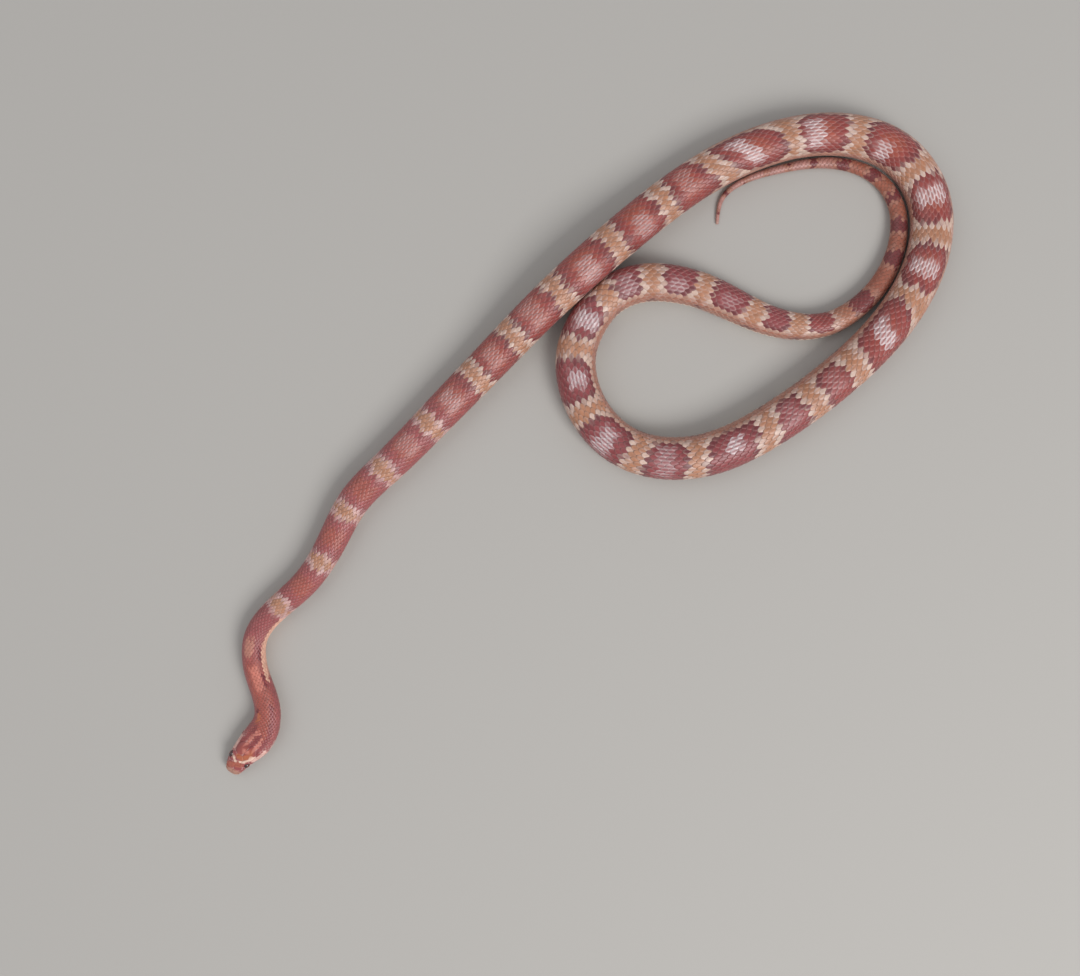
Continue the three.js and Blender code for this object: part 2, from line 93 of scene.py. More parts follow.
def along(table: Table, station: Array) -> Array:
    """Read a table of rows (station, value) on a smooth curve that never overshoots.

    Args:
        table: Rows of station and value, stations rising.
        station: Stations to read.

    Returns:
        The values there, held level beyond both ends.
    """
    rows = np.asarray(table, float)
    knots, values = rows[:, 0], rows[:, 1]
    slopes = np.diff(values) / np.diff(knots)
    tangents = np.zeros(len(knots))
    tangents[0], tangents[-1] = slopes[0], slopes[-1]
    before, after = slopes[:-1], slopes[1:]
    same_way = before * after > 0
    total = np.where(same_way, before + after, 1.0)
    tangents[1:-1] = np.where(same_way, 2 * before * after / total, 0.0)
    held = np.clip(station, knots[0], knots[-1])
    row = np.clip(np.searchsorted(knots, held, side="right") - 1, 0, len(knots) - 2)
    span = knots[row + 1] - knots[row]
    u = (held - knots[row]) / span
    start_weight = (1 + 2 * u) * (1 - u) ** 2
    end_weight = u * u * (3 - 2 * u)
    bend = tangents[row] * u * (1 - u) ** 2 - tangents[row + 1] * u * u * (1 - u)
    return values[row] * start_weight + values[row + 1] * end_weight + span * bend


def eased(value: Array, low: float, high: float) -> Array:
    """Rise smoothly from 0 at low to 1 at high."""
    u = np.clip((np.asarray(value, float) - low) / (high - low), 0, 1)
    return u * u * (3 - 2 * u)


def between(value: Array, rise: tuple[float, float], fall: tuple[float, float]) -> Array:
    """Rise smoothly from 0 to 1 over one stretch and fall back to 0 over a later one."""
    return eased(value, *rise) * (1 - eased(value, *fall))


def mixed(start: Array, end: Array, share: Array) -> Array:
    """Blend two arrays of colours by a share for each row."""
    weight = np.asarray(share, float)[..., None]
    return start * (1 - weight) + end * weight


def ring_faces(rings: int, width: int) -> Array:
    """Number the four-cornered faces between closed rings of points laid one after another.

    Args:
        rings: How many rings there are.
        width: How many points each ring has.

    Returns:
        Rows of four point numbers, ring by ring.
    """
    ring, column = np.divmod(np.arange((rings - 1) * width), width)
    after = (column + 1) % width
    near, far = ring * width, (ring + 1) * width
    return np.stack([near + column, near + after, far + after, far + column], axis=1)


def fan_faces(first: int, width: int, middle: int) -> Array:
    """Number the three-cornered faces from a closed ring of points to one middle point."""
    column = np.arange(width)
    return np.stack([first + column, first + (column + 1) % width, np.full(width, middle)], axis=1)


def base_faces(width: int) -> Array:
    """Number the three-cornered faces that close the first ring, fanned out from its first point."""
    column = np.arange(1, width - 1)
    return np.stack([np.zeros(width - 2, int), column + 1, column], axis=1)


@dataclass
class Route:
    """The way of the body over the floor, a natural cubic spline seen from above."""

    points: Table = (
        (-199, -183.5), (-193, -174.5), (-185.5, -166.5), (-181, -160), (-178.5, -152.5),
        (-179, -144.5), (-184.5, -127.5), (-186, -118), (-185, -108.5), (-175.5, -94.5),
        (-158.5, -79), (-143, -56), (-130.3, -32.8), (-111.5, -13.5), (-88.5, 9.5), (-55.5, 43.5),
        (-22.5, 76.5), (14.8, 110.2), (54, 141.5), (94.5, 162.5), (133, 169.5), (169, 159),
        (186.7, 132.9), (185.2, 100.3), (168.8, 68.7), (139.2, 38), (101.2, 10.1), (59.3, -8),
        (17.2, -1.4), (2.3, 12.9), (-5.8, 30), (-7.4, 48.3), (-0.9, 66.3), (11.5, 80.8),
        (27.6, 87.4), (45.4, 87.4), (62.7, 83.2), (99.6, 67.2), (133.2, 65.9), (147.9, 74),
        (159.7, 85.8), (171.9, 116.4), (170.8, 130.5), (164.7, 142.1), (155.4, 149.8),
        (131, 155.6), (103, 151.4), (80.9, 142.8), (74.6, 136.8), (71.4, 122.1),
    )
    shift: tuple[float, float] = (1.21, 1.97)
    divisions: int = 4000
    hump_station: float = 352
    hump_half_length: float = 82
    hump_height: float = 6

    def __post_init__(self) -> None:
        """Solve the spline and measure its length."""
        self.places = np.asarray(self.points, float) + np.asarray(self.shift)
        steps = np.hypot(*np.diff(self.places, axis=0).T)
        self.knots = np.concatenate([[0], np.cumsum(steps)])
        self.bends = np.stack([self._solve(self.places[:, axis], steps) for axis in (0, 1)], axis=1)
        self.samples = np.linspace(0, self.knots[-1], self.divisions + 1)
        spots = self._spot(self.samples)[0]
        run = np.hypot(*np.diff(spots, axis=0).T)
        self.distances = np.concatenate([[0], np.cumsum(run)])
        self.length = float(self.distances[-1])

    @staticmethod
    def _solve(values: Array, steps: Array) -> Array:
        """Find the second derivatives at the knots of a natural spline.

        Args:
            values: One coordinate of the knots.
            steps: Distances between the knots.

        Returns:
            The second derivative at each knot, nought at both ends.
        """
        count = len(values)
        band = np.eye(count)
        target = np.zeros(count)
        for i in range(1, count - 1):
            band[i, i - 1:i + 2] = steps[i - 1], 2 * (steps[i - 1] + steps[i]), steps[i]
            change = (values[i + 1] - values[i]) / steps[i]
            target[i] = 6 * (change - (values[i] - values[i - 1]) / steps[i - 1])
        return np.linalg.solve(band, target)

    def _spot(self, distance: Array) -> tuple[Array, Array]:
        """Find places and directions on the spline.

        Args:
            distance: Distances along the chords between the points.

        Returns:
            Places and unit directions, two coordinates each.
        """
        row = np.clip(np.searchsorted(self.knots, distance, side="right") - 1, 0, len(self.knots) - 2)
        step = self.knots[row + 1] - self.knots[row]
        far = ((distance - self.knots[row]) / step)[:, None]
        near = 1 - far
        step = step[:, None]
        start, end = self.bends[row], self.bends[row + 1]
        place = near * self.places[row] + far * self.places[row + 1]
        place = place + ((near ** 3 - near) * start + (far ** 3 - far) * end) * step ** 2 / 6
        slope = (self.places[row + 1] - self.places[row]) / step
        slope = slope + ((1 - 3 * near ** 2) * start + (3 * far ** 2 - 1) * end) * step / 6
        return place, slope / np.hypot(*slope.T)[:, None]

    def lift(self, station: Array) -> Array:
        """Give the height of the belly over the floor where the front passes over the loop."""
        offset = (station - self.hump_station) / self.hump_half_length
        return np.where(np.abs(offset) < 1, self.hump_height * np.cos(offset * math.pi / 2) ** 2, 0.0)

    def frames(self, station: Array) -> tuple[Array, Array, Array, Array]:
        """Give the centre of the belly and the directions there.

        Args:
            station: Stations, in a flat array.

        Returns:
            Centres, and unit vectors forward, across to the left, and up.
        """
        inside = np.clip(station, 0, self.length)
        place, direction = self._spot(np.interp(inside, self.distances, self.samples))
        place = place + direction * (station - inside)[:, None]
        centre = np.column_stack([place, self.lift(station)])
        climb = self.lift(station + 0.5) - self.lift(station - 0.5)
        forward = np.column_stack([direction, climb])
        forward /= np.linalg.norm(forward, axis=1)[:, None]
        across = np.column_stack([-direction[:, 1], direction[:, 0], np.zeros(len(station))])
        return centre, forward, across, np.cross(forward, across)


@dataclass
class BodyForm:
    """The outside of the snake, as a surface over station and share of the girth."""

    route: Route
    width_at: Table = (
        (0, 4.4), (0.7, 6.9), (1.8, 8.6), (4, 10.2), (7, 11.9), (9.6, 12.9), (13, 14.2), (17, 15.9),
        (21, 17.3), (24.5, 17.9), (28, 17.4), (33, 16.0), (38, 14.8), (46, 14.0), (62, 13.4),
        (78, 13.3), (115, 14.7), (164, 17.2), (217, 19.4), (307, 21.7), (405, 22.9), (620, 23.0),
        (700, 23.6), (780, 24.1), (837, 23.6), (878, 22.8), (954, 21.2), (990, 19.6), (1029, 16.3),
        (1060, 13.2), (1114, 10.3), (1144, 9.1), (1184, 6.8), (1212, 5.0), (1258, 2.5), (1276, 1.0),
    )
    crest_at: Table = (
        (0, 4.7), (0.7, 5.5), (1.8, 6.2), (4, 7.1), (7, 8.1), (9.6, 8.8), (13, 9.5), (17, 10.2),
        (24.5, 10.9), (33, 11.4), (46, 11.8), (78, 11.5), (115, 12.6), (164, 14.7), (217, 16.4),
        (307, 18.3), (405, 19.4), (780, 19.7), (878, 18.4), (954, 17.2), (1029, 13.1), (1060, 11.2),
        (1114, 9.0), (1184, 5.8), (1212, 4.4), (1258, 2.3), (1276, 1.0),
    )
    chin_at: Table = ((0, 3.0), (0.9, 2.7), (1.4, 1.7), (2.6, 0.9), (5, 0.2), (7, 0), (1276, 0))
    squareness_at: Table = (
        (0, 2.3), (5, 2.5), (12, 2.6), (22, 2.35), (38, 2.1), (60, 2.05), (1276, 2.0),
    )
    widest: float = 0.44
    flat: float = 0.55
    lower_squareness: float = 2.1
    roll_at: Table = ((0, 0), (640, 0), (720, 22), (800, 26), (1040, 26), (1110, 12), (1276, 8))
    gap: float = 0.3
    crossing_point: tuple[float, float, float] = (2.52, 85.94, 12.5)
    crossing_direction: tuple[float, float] = (0.735, 0.679)
    crossing_lean: float = 25
    crossing_over: tuple[float, float] = (300, 410)
    crossing_under: tuple[float, float] = (890, 975)
    crossing_flat: float = 9
    crossing_fade: float = 30
    scute_rise: float = 0.5
    flank_sink: float = 0.8
    mouth_line: Table = (
        (-1, 2.2), (1, 2.45), (5, 2.9), (9.6, 3.1), (14, 3.25), (18, 3.6), (22, 4.4), (24.6, 5.1),
    )
    eye_station: float = 9.6
    eye_height: float = 6.2
    eye_rim: float = 1.85
    eye_bed: float = 1.1
    eye_swell: float = 0.09
    nostril_station: float = 1.9
    nostril_height: float = 4.5
    nostril_radius: float = 0.42
    nostril_depth: float = 0.7
    columns: int = 257

    def __post_init__(self) -> None:
        """Lay out the sections at close stations, to be read between."""
        self.stations = np.concatenate([np.arange(0, 40, 0.1), np.arange(40, 1276.5, 0.5)])
        half = (along(self.width_at, self.stations) / 2)[:, None]
        top = along(self.crest_at, self.stations)[:, None]
        bottom = along(self.chin_at, self.stations)[:, None]
        level = bottom + self.widest * (top - bottom)
        angle = np.linspace(0, math.pi / 2, 49)[None, :]
        upper = 2 / along(self.squareness_at, self.stations)[:, None]
        lower = 2 / self.lower_squareness
        flat = self.flat * half
        sine, cosine = np.sin(angle), np.maximum(np.cos(angle), 0)
        across = np.hstack([
            half * sine ** upper, flat + (half - flat) * cosine[:, 1:] ** lower, half * 0,
        ])
        up = np.hstack([
            level + (top - level) * cosine ** upper, level - (level - bottom) * sine[:, 1:] ** lower,
            bottom,
        ])
        run = np.hypot(np.diff(across, axis=1), np.diff(up, axis=1))
        reach = np.hstack([half * 0, np.cumsum(run, axis=1)])
        self.girths = 2 * reach[:, -1]
        self.across = np.empty((len(self.stations), self.columns))
        self.up = np.empty_like(self.across)
        for row, lengths in enumerate(reach):
            even = np.linspace(0, lengths[-1], self.columns)
            self.across[row] = np.interp(even, lengths, across[row])
            self.up[row] = np.interp(even, lengths, up[row])
        lean = math.radians(self.crossing_lean)
        x, y = self.crossing_direction
        normal = np.array([-y * math.cos(lean), x * math.cos(lean), math.sin(lean)])
        self.crossing_normal = normal / np.linalg.norm(normal)

    def width(self, station: Array) -> Array:
        """Give the full width of the body."""
        return along(self.width_at, station)

    def girth(self, station: Array) -> Array:
        """Give the distance round the body."""
        return np.interp(station, self.stations, self.girths)

    def outline(self, station: Array, turned: Array) -> tuple[Array, Array]:
        """Read a point of the section.

        Args:
            station: Stations of the sections.
            turned: Shares of the girth from the top of the section.

        Returns:
            Distance across and height of each point.
        """
        wrapped = turned - np.round(turned)
        row = np.interp(station, self.stations, np.arange(len(self.stations)))
        column = np.minimum(np.abs(wrapped) * 2, 1) * (self.columns - 1)
        r = np.minimum(row.astype(int), len(self.stations) - 2)
        c = np.minimum(column.astype(int), self.columns - 2)
        u, v = row - r, column - c

        def read(grid: Array) -> Array:
            """Read a grid between its four nearest corners.

            Args:
                grid: One value for each station and column.

            Returns:
                The values at the places asked for.
            """
            near = grid[r, c] * (1 - v) + grid[r, c + 1] * v
            far = grid[r + 1, c] * (1 - v) + grid[r + 1, c + 1] * v
            return near * (1 - u) + far * u

        return np.where(wrapped < 0, -1, 1) * read(self.across), read(self.up)

    def share_at_height(self, station: Array, height: Array) -> Array:
        """Find the share of the girth at which the side of the section stands at a height.

        Args:
            station: Stations of the sections.
            height: Heights over the level of the belly.

        Returns:
            The shares, found by halving.
        """
        station, height = np.broadcast_arrays(np.asarray(station, float), np.asarray(height, float))
        high, low = np.full(station.shape, 0.02), np.full(station.shape, 0.46)
        for _ in range(20):
            middle = (high + low) / 2
            above = self.outline(station, middle)[1] > height
            high, low = np.where(above, middle, high), np.where(above, low, middle)
        return (high + low) / 2

    def openings(self, station: Array, height: Array) -> Array:
        """Give how far the surface dips into the eye sockets and the nostrils.

        Args:
            station: Stations along the route.
            height: Heights over the level of the belly.

        Returns:
            Depths in millimetres, a little under nought on the rim round the eye.
        """
        from_eye = np.hypot(station - self.eye_station, height - self.eye_height)
        bed = self.eye_bed * (1 - eased(from_eye, self.eye_rim - 0.3, self.eye_rim + 0.12))
        rim = self.eye_swell * np.exp(-((from_eye - self.eye_rim - 0.5) / 0.3) ** 2)
        from_nostril = np.hypot(
            station - self.nostril_station, (height - self.nostril_height) * 1.2)
        radius = self.nostril_radius
        hole = self.nostril_depth * (1 - eased(from_nostril, radius * 0.5, radius * 1.4))
        return np.where(station < 20, bed - rim + hole, 0.0)

    def surface(self, station: Array, share: Array, raised: Array) -> Array:
        """Find points on, over or under the snake's outside.

        Args:
            station: Stations along the route.
            share: Shares of the girth from the middle of the back.
            raised: Heights over the outside of the solids, in millimetres.

        Returns:
            The points, in millimetres, one row each.
        """
        station, share, raised = (
            part.ravel() for part in np.broadcast_arrays(
                np.asarray(station, float), np.asarray(share, float), np.asarray(raised, float)))
        turned = share + along(self.roll_at, station) / 360
        across, up = self.outline(station, turned)
        reach = 0.01
        before, after = self.outline(station, turned - reach), self.outline(station, turned + reach)
        run = np.stack([after[0] - before[0], after[1] - before[1]])
        run /= np.maximum(np.hypot(*run), 1e-9)
        rise = np.minimum(self.scute_rise, 0.045 * self.width(station))
        folded = np.abs(share - np.round(share))
        sink = self.flank_sink * rise * eased(folded, 0.2, 0.32) * (1 - eased(folded, 0.325, 0.34))
        sink = sink * eased(station, 33, 36)
        level = raised - sink - self.openings(station, up)
        centre, _, left, above = self.route.frames(station)
        point = centre + left * (across - run[1] * level)[:, None]
        point = point + above * (up + run[0] * level)[:, None]
        point = self._pressed(point, station, raised)
        point[:, 2] = np.maximum(point[:, 2], 0)
        return point

    def _pressed(self, point: Array, station: Array, raised: Array) -> Array:
        """Flatten what would press into the other length at the crossing.

        Args:
            point: Points of the surface.
            station: Their stations.
            raised: Their heights over the outside of the solids.

        Returns:
            The points, moved clear of the leaning plane between the two lengths.
        """
        away = point - np.asarray(self.crossing_point)
        side = away @ self.crossing_normal
        distance = np.abs(away[:, :2] @ np.asarray(self.crossing_direction))
        share = 1 - eased(distance, self.crossing_flat, self.crossing_fade)
        clear = self.gap / 2 + np.maximum(-raised, -0.1)
        over = (station > self.crossing_over[0]) & (station < self.crossing_over[1])
        under = (station > self.crossing_under[0]) & (station < self.crossing_under[1])
        push = np.where(over, np.maximum(clear - side, 0), 0)
        push = np.where(under, np.minimum(-clear - side, 0), push)
        return point + self.crossing_normal * (push * share)[:, None]


@dataclass
class BakeMap:
    """An unwrap of the skin's own shape, in strips laid one over another."""

    length: float
    strips: int = 4
    margin: float = 0.01
    patch: float = 0.0015

    def place(self, station: Array, share: Array, strip: Array | None = None) -> Array:
        """Find places on the unwrap.

        Args:
            station: Stations along the route.
            share: Shares of the girth from the middle of the back, -0.5 to 0.5.
            strip: The strip of each place, or None to take the station's own.

        Returns:
            Pairs of map coordinates.
        """
        span = self.length / self.strips
        if strip is None:
            strip = self.strip(station)
        inner = 1 - 2 * self.margin
        along_strip = self.margin + inner * (station - strip * span) / span
        over_strip = self.margin + inner * (share + 0.5)
        return np.stack([along_strip, (strip + over_strip) / self.strips], axis=-1)

    def strip(self, station: Array) -> Array:
        """Number the strip that a station lies in."""
        return np.clip((station * self.strips / self.length).astype(int), 0, self.strips - 1)


def tinted(made: bpy.types.Material, scale: float, detail: float) -> tuple[Node, Node]:
    """Give a material the mesh's markings, varied by a fine noise.

    Args:
        made: The material, with nodes in use.
        scale: How fine the noise is.
        detail: How much finer detail it has.

    Returns:
        The place node and the node that sets how far the noise varies the markings.
    """
    nodes, links = made.node_tree.nodes, made.node_tree.links
    markings = nodes.new("ShaderNodeAttribute")
    markings.attribute_name = "markings"
    place = nodes.new("ShaderNodeTexCoord")
    noise = nodes.new("ShaderNodeTexNoise")
    noise.inputs["Scale"].default_value = scale
    noise.inputs["Detail"].default_value = detail
    spread = nodes.new("ShaderNodeMapRange")
    shaded = nodes.new("ShaderNodeVectorMath")
    shaded.operation = "SCALE"
    links.new(place.outputs["Object"], noise.inputs["Vector"])
    links.new(noise.outputs["Fac"], spread.inputs["Value"])
    links.new(markings.outputs["Color"], shaded.inputs[0])
    links.new(spread.outputs["Result"], shaded.inputs["Scale"])
    links.new(shaded.outputs["Vector"], nodes["Principled BSDF"].inputs["Base Color"])
    return place, spread


@dataclass(frozen=True)
class SkinFinish:
    """Supple, slightly glossy scale or skin that takes its markings from its mesh."""

    name: str
    roughness: float = 0.42
    mottle: float = 0.12
    mottle_scale: float = 420.0
    grain: float = 0.12
    grain_scale: float = 2600.0
    grain_height: float = 0.0001
    gloss: float = 0.5
    sheen: float = 0.15
    sheen_roughness: float = 0.4
    coat: float = 0.12
    coat_roughness: float = 0.25

    def material(self) -> bpy.types.Material:
        """Build the material: markings from the mesh, fine mottling and a fine bump.

        Returns:
            The new material.
        """
        made = bpy.data.materials.new(self.name)
        made.use_nodes = True
        nodes, links = made.node_tree.nodes, made.node_tree.links
        shader = nodes["Principled BSDF"]
        shader.inputs["Roughness"].default_value = self.roughness
        shader.inputs["Specular IOR Level"].default_value = self.gloss
        shader.inputs["Sheen Weight"].default_value = self.sheen
        shader.inputs["Sheen Roughness"].default_value = self.sheen_roughness
        shader.inputs["Coat Weight"].default_value = self.coat
        shader.inputs["Coat Roughness"].default_value = self.coat_roughness
        place, spread = tinted(made, self.mottle_scale, 4.0)
        spread.inputs["From Min"].default_value = 0.3
        spread.inputs["From Max"].default_value = 0.7
        spread.inputs["To Min"].default_value = 1 - self.mottle
        spread.inputs["To Max"].default_value = 1 + self.mottle
        grain = nodes.new("ShaderNodeTexNoise")
        grain.inputs["Scale"].default_value = self.grain_scale
        grain.inputs["Detail"].default_value = 3.0
        bump = nodes.new("ShaderNodeBump")
        bump.inputs["Strength"].default_value = self.grain
        bump.inputs["Distance"].default_value = self.grain_height
        links.new(place.outputs["Object"], grain.inputs["Vector"])
        links.new(grain.outputs["Fac"], bump.inputs["Height"])
        links.new(bump.outputs["Normal"], shader.inputs["Normal"])
        return made


@dataclass
class Piece:
    """A mesh in the making: points, faces, colours and places on the unwrap."""

    name: str
    points: list[Array] = field(default_factory=list)
    faces: list[Array] = field(default_factory=list)
    colours: list[Array] = field(default_factory=list)
    corners: list[Array] = field(default_factory=list)
    count: int = 0

    def add(self, points: Array, faces: tuple[Array, ...], colours: Array, places: Array) -> None:
        """Add a lump of mesh.

        Args:
            points: Points in millimetres.
            faces: Arrays of faces, three or four point numbers a row, counted from this lump's first.
            colours: A linear colour for each point.
            places: A map coordinate for each point, or for each corner of one array of faces.
        """
        for part in faces:
            spots = places[part.ravel()] if places.ndim == 2 else places.reshape(-1, 2)
            self.faces.append(part + self.count)
            self.corners.append(spots)
        self.points.append(points)
        self.colours.append(colours)
        self.count += len(points)

    def build(self, finish: bpy.types.Material, slot: Slot) -> bpy.types.Object:
        """Turn the lumps into one object that rides with the snake's body.

        Args:
            finish: The material of the whole piece.
            slot: The record's slot that the finish belongs to; not used.

        Returns:
            The finished object.
        """
        mesh = bpy.data.meshes.new(self.name)
        points = np.concatenate(self.points) * MILLIMETRE
        sizes = np.concatenate([np.full(len(part), part.shape[1]) for part in self.faces])
        ends = np.cumsum(sizes)
        mesh.vertices.add(len(points))
        mesh.vertices.foreach_set("co", points.ravel())
        mesh.loops.add(int(ends[-1]))
        numbers = np.concatenate([part.ravel() for part in self.faces])
        mesh.loops.foreach_set("vertex_index", numbers.astype(np.int32))
        mesh.polygons.add(len(sizes))
        mesh.polygons.foreach_set("loop_start", (ends - sizes).astype(np.int32))
        mesh.polygons.foreach_set("use_smooth", np.ones(len(sizes), bool))
        mesh.update(calc_edges=True)
        tint = mesh.color_attributes.new("markings", "FLOAT_COLOR", "POINT")
        colours = np.concatenate(self.colours)
        tint.data.foreach_set("color", np.column_stack([colours, np.ones(len(colours))]).ravel())
        unwrap = mesh.uv_layers.new(name="OFBake")
        unwrap.data.foreach_set("uv", np.concatenate(self.corners).ravel())
        mesh.validate()
        made = bpy.data.objects.new(self.name, mesh)
        bpy.context.scene.collection.objects.link(made)
        mesh.materials.append(finish)
        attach(made, BODY)
        log.info("%s: %d points, %d faces", self.name, len(points), len(sizes))
        return made


@dataclass(frozen=True)
class Stroke:
    """A band of one colour along a line on the head or neck, in station and distance across."""

    path: Table
    half_width: float
    colour: Colour

    def over(self, station: Array, across: Array) -> Array:
        """Give how strongly the band covers each place.

        Args:
            station: Stations along the route.
            across: Distances from the middle line, seen from above.

        Returns:
            Nought off the band, up to one on it.
        """
        place = np.column_stack([station, across])
        nearest = np.full(len(place), np.inf)
        for start, end in zip(self.path, self.path[1:]):
            run = np.subtract(end, start)
            share = np.clip((place - start) @ run / (run @ run), 0, 1)
            away = np.linalg.norm(place - start - share[:, None] * run, axis=1)
            nearest = np.minimum(nearest, away)
        return 1 - eased(nearest, self.half_width * 0.65, self.half_width * 1.25)


@dataclass
class Markings:
    """The snake's colours over its back, flanks, belly and head."""

    form: BodyForm
    gap_centres: tuple[float, ...] = (
        -20, 106, 139, 170, 201, 236, 273, 304.5, 337.5, 375, 411.5, 446, 491, 529, 568, 607, 644.5,
        692, 721, 750, 792, 825, 860, 895, 928, 955, 984, 1015, 1040, 1067, 1096, 1120, 1138, 1154.5,
        1172.5, 1190, 1205, 1218, 1230, 1242.5, 1255, 1266,
    )
    gap_half_at: Table = (
        (0, 4), (106, 5), (236, 5.6), (273, 5.2), (304, 5), (447, 5.5), (607, 5.8), (692, 6),
        (750, 6.4), (792, 5.7), (928, 5.8), (1015, 5.4), (1040, 5.8), (1067, 6.6), (1094, 10.5),
        (1110, 6), (1120, 4.9), (1138, 5), (1172, 6.2), (1205, 6), (1276, 4.5),
    )
    slant_at: Table = (
        (430, 0), (452, -0.75), (482, -0.6), (497, 0), (640, 0), (652, 0.5), (668, 0.35), (686, 0.1),
        (700, 0), (738, 0.05), (750, 0.45), (766, 0.5), (780, 0.42), (794, 0.05), (805, 0),
    )
    saddle_middle_at: Table = ((0, 0), (420, 0), (460, -0.025), (620, -0.025), (660, 0), (1276, 0))
    saddle_reach_at: Table = (
        (0, 0.27), (420, 0.27), (460, 0.178), (640, 0.178), (700, 0.2), (1040, 0.2), (1110, 0.22),
        (1276, 0.25),
    )
    # Whitish patches in the saddles' middles, as station, across from, across to and strength: partly
    # whitish skin between the scale rows, partly painted highlight.
    pale_and_highlight_patches: tuple[tuple[float, float, float, float], ...] = (
        (220, -6, 6, 0.25), (254, -6, 6, 0.4), (288, -6, 6, 0.25), (320, -8, 9, 0.25),
        (356, -10, 4, 0.45), (393, -10, 2, 0.45), (428, -6, 8, 0.25),
        (465, -9, 7, 1), (505, -9, 6, 0.85), (545, -10, -2, 0.85), (585, -9, 6, 0.9),
        (626, -9, 6, 0.9), (669, -8, 7, 1), (707, -6, 6, 0.2), (736, -7, 7, 0.2),
        (771, -4.5, 4, 0.9), (809, -6, 11, 0.4), (842.5, -3, 11, 0.85), (878, -4.5, 5, 0.95),
        (911, -6.5, 8, 0.95), (941, -5, 6, 0.4), (969, -6, 2, 0.45), (1000, -5, 3, 0.25),
    )
    strokes: tuple[Stroke, ...] = (
        Stroke(((4, 3.5), (6, 0.8), (7.5, -2.2)), 1.6, (168, 92, 74)),
        Stroke(((11.4, 1.4), (11.6, -1.1), (15.6, -3.4)), 1.4, (176, 98, 66)),
        Stroke(((10.3, 4.2), (8.1, 1.1), (10, -2.6), (13.8, -4.8), (17, -5.8)), 0.62, (228, 194, 174)),
        Stroke(((14, 4.4), (20, 5.3), (26, 4.8), (31, 3.6)), 1.25, (142, 68, 66)),
        Stroke(((19, -4.8), (27, -4.9), (36, -4.2), (44, -3.6)), 1.15, (140, 66, 66)),
        Stroke(((13, 6.4), (17, 7.2), (20.6, 7.9)), 0.85, (220, 176, 164)),
        Stroke(((14, -6.3), (18, -7.2), (22, -7.9)), 0.85, (220, 176, 164)),
        Stroke(((15, 0.6), (18.5, 2.6), (26, 2.8), (30, 0.5), (26.5, -2.7), (18.5, -2.5), (15, 0.6)),
               0.8, (196, 120, 106)),
        Stroke(((20, 0.1), (28.5, -0.2)), 1.35, (136, 62, 62)),
        Stroke(((34, 4.4), (39, 3.6)), 0.95, (184, 104, 72)),
        Stroke(((41, 4.5), (41.8, 4.4)), 1.1, (112, 42, 46)),
        Stroke(((75, 1.6), (80, 1.4)), 2.9, (186, 124, 108)),
        Stroke(((55, -0.6), (66, -0.6)), 2.6, (196, 116, 100)),
        Stroke(((54, -4), (61, -4)), 0.85, (122, 44, 48)),
        Stroke(((71, -4.2), (77, -4.2)), 0.85, (122, 44, 48)),
        Stroke(((58, -5.7), (80, -6.2), (102, -6.8)), 0.9, (220, 168, 144)),
    )
    front: tuple[float, float] = (225, 285)
    tail: tuple[float, float] = (1040, 1090)
    belly_from: tuple[float, float] = (0.328, 0.336)
    checker_length: float = 9.6
    checker_start: float = 60
    purple_from: tuple[float, float] = (690, 760)
    purple_to: tuple[float, float] = (1030, 1060)
    warm_to: tuple[float, float] = (600, 720)
    blotch_from: tuple[float, float] = (250, 300)
    blotch_to: tuple[float, float] = (1040, 1080)
    blotch_share: float = 0.298

    def __post_init__(self) -> None:
        """Mix the colours."""
        self.red = linear(142, 60, 54)
        self.front_red = linear(150, 72, 72)
        self.warm_red = linear(162, 80, 58)
        self.purple_red = linear(134, 59, 61)
        self.dark = linear(96, 38, 42)
        self.orange = linear(172, 117, 87)
        self.tail_orange = linear(152, 86, 66)
        self.cream = linear(200, 170, 153)
        self.pink = linear(192, 146, 140)
        # Whitish colour of the skin between scales and of the borders beside the saddles, also laid on
        # as painted highlight in the saddles' middles.
        self.pale = linear(232, 218, 218)
        # Flank colour: the flank's own peach, darkened in part by painted shade.
        self.flank_with_shade = linear(164, 108, 89)
        self.snout = linear(174, 128, 110)
        self.lip = linear(204, 172, 162)
        self.belly = linear(222, 202, 184)
        self.checker = linear(150, 92, 84)

    def nearest_gap(self, station: Array) -> tuple[Array, Array, Array]:
        """Find the saddle that a station lies in or next to.

        Args:
            station: Stations along the route.

        Returns:
            The distance from the middle of the saddle, half its length, and half the gap's length.
        """
        centres = np.array(self.gap_centres)
        halves = along(self.gap_half_at, centres)
        number = np.clip(np.searchsorted(centres, station), 1, len(centres) - 1)
        start = centres[number - 1] + halves[number - 1]
        end = centres[number] - halves[number]
        nearer = np.where(station < (start + end) / 2, halves[number - 1], halves[number])
        return station - (start + end) / 2, (end - start) / 2, nearer

    def _placed(self, station: Array, share: Array) -> tuple[Array, Array, Array, Array]:
        """Work out where a place lies in the pattern.

        Args:
            station: Stations along the route.
            share: Shares of the girth from the middle of the back.

        Returns:
            Shares from -0.5 to 0.5, distances across, heights, and stations with the saddles' slant.
        """
        folded = share - np.round(share)
        across, height = self.form.outline(station, folded + along(self.form.roll_at, station) / 360)
        return folded, across, height, station - along(self.slant_at, station) * across

    def streak_and_highlight(self, station: Array, share: Array) -> Array:
        """Give how strongly a scale's sides are whitened, so that whitish streaks run along the body;
        in the saddles' middles they are partly painted highlight.

        Args:
            station: Stations along the route.
            share: Shares of the girth from the middle of the back.

        Returns:
            Nought where there is none, up to one in a whitish patch of skin and painted highlight.
        """
        folded, across, _, slanted = self._placed(station, share)
        offset, half, gap_half = self.nearest_gap(slanted)
        border = np.exp(-(((np.abs(offset) - half) / gap_half - 0.3) / 0.35) ** 2)
        border = border * eased(station, 90, 110) * (1 - eased(station, *self.tail))
        inner = 1 - eased(np.abs(folded), 0.2, 0.28)
        return np.maximum(self._pale_and_highlight(slanted, across), border * inner * 0.36)

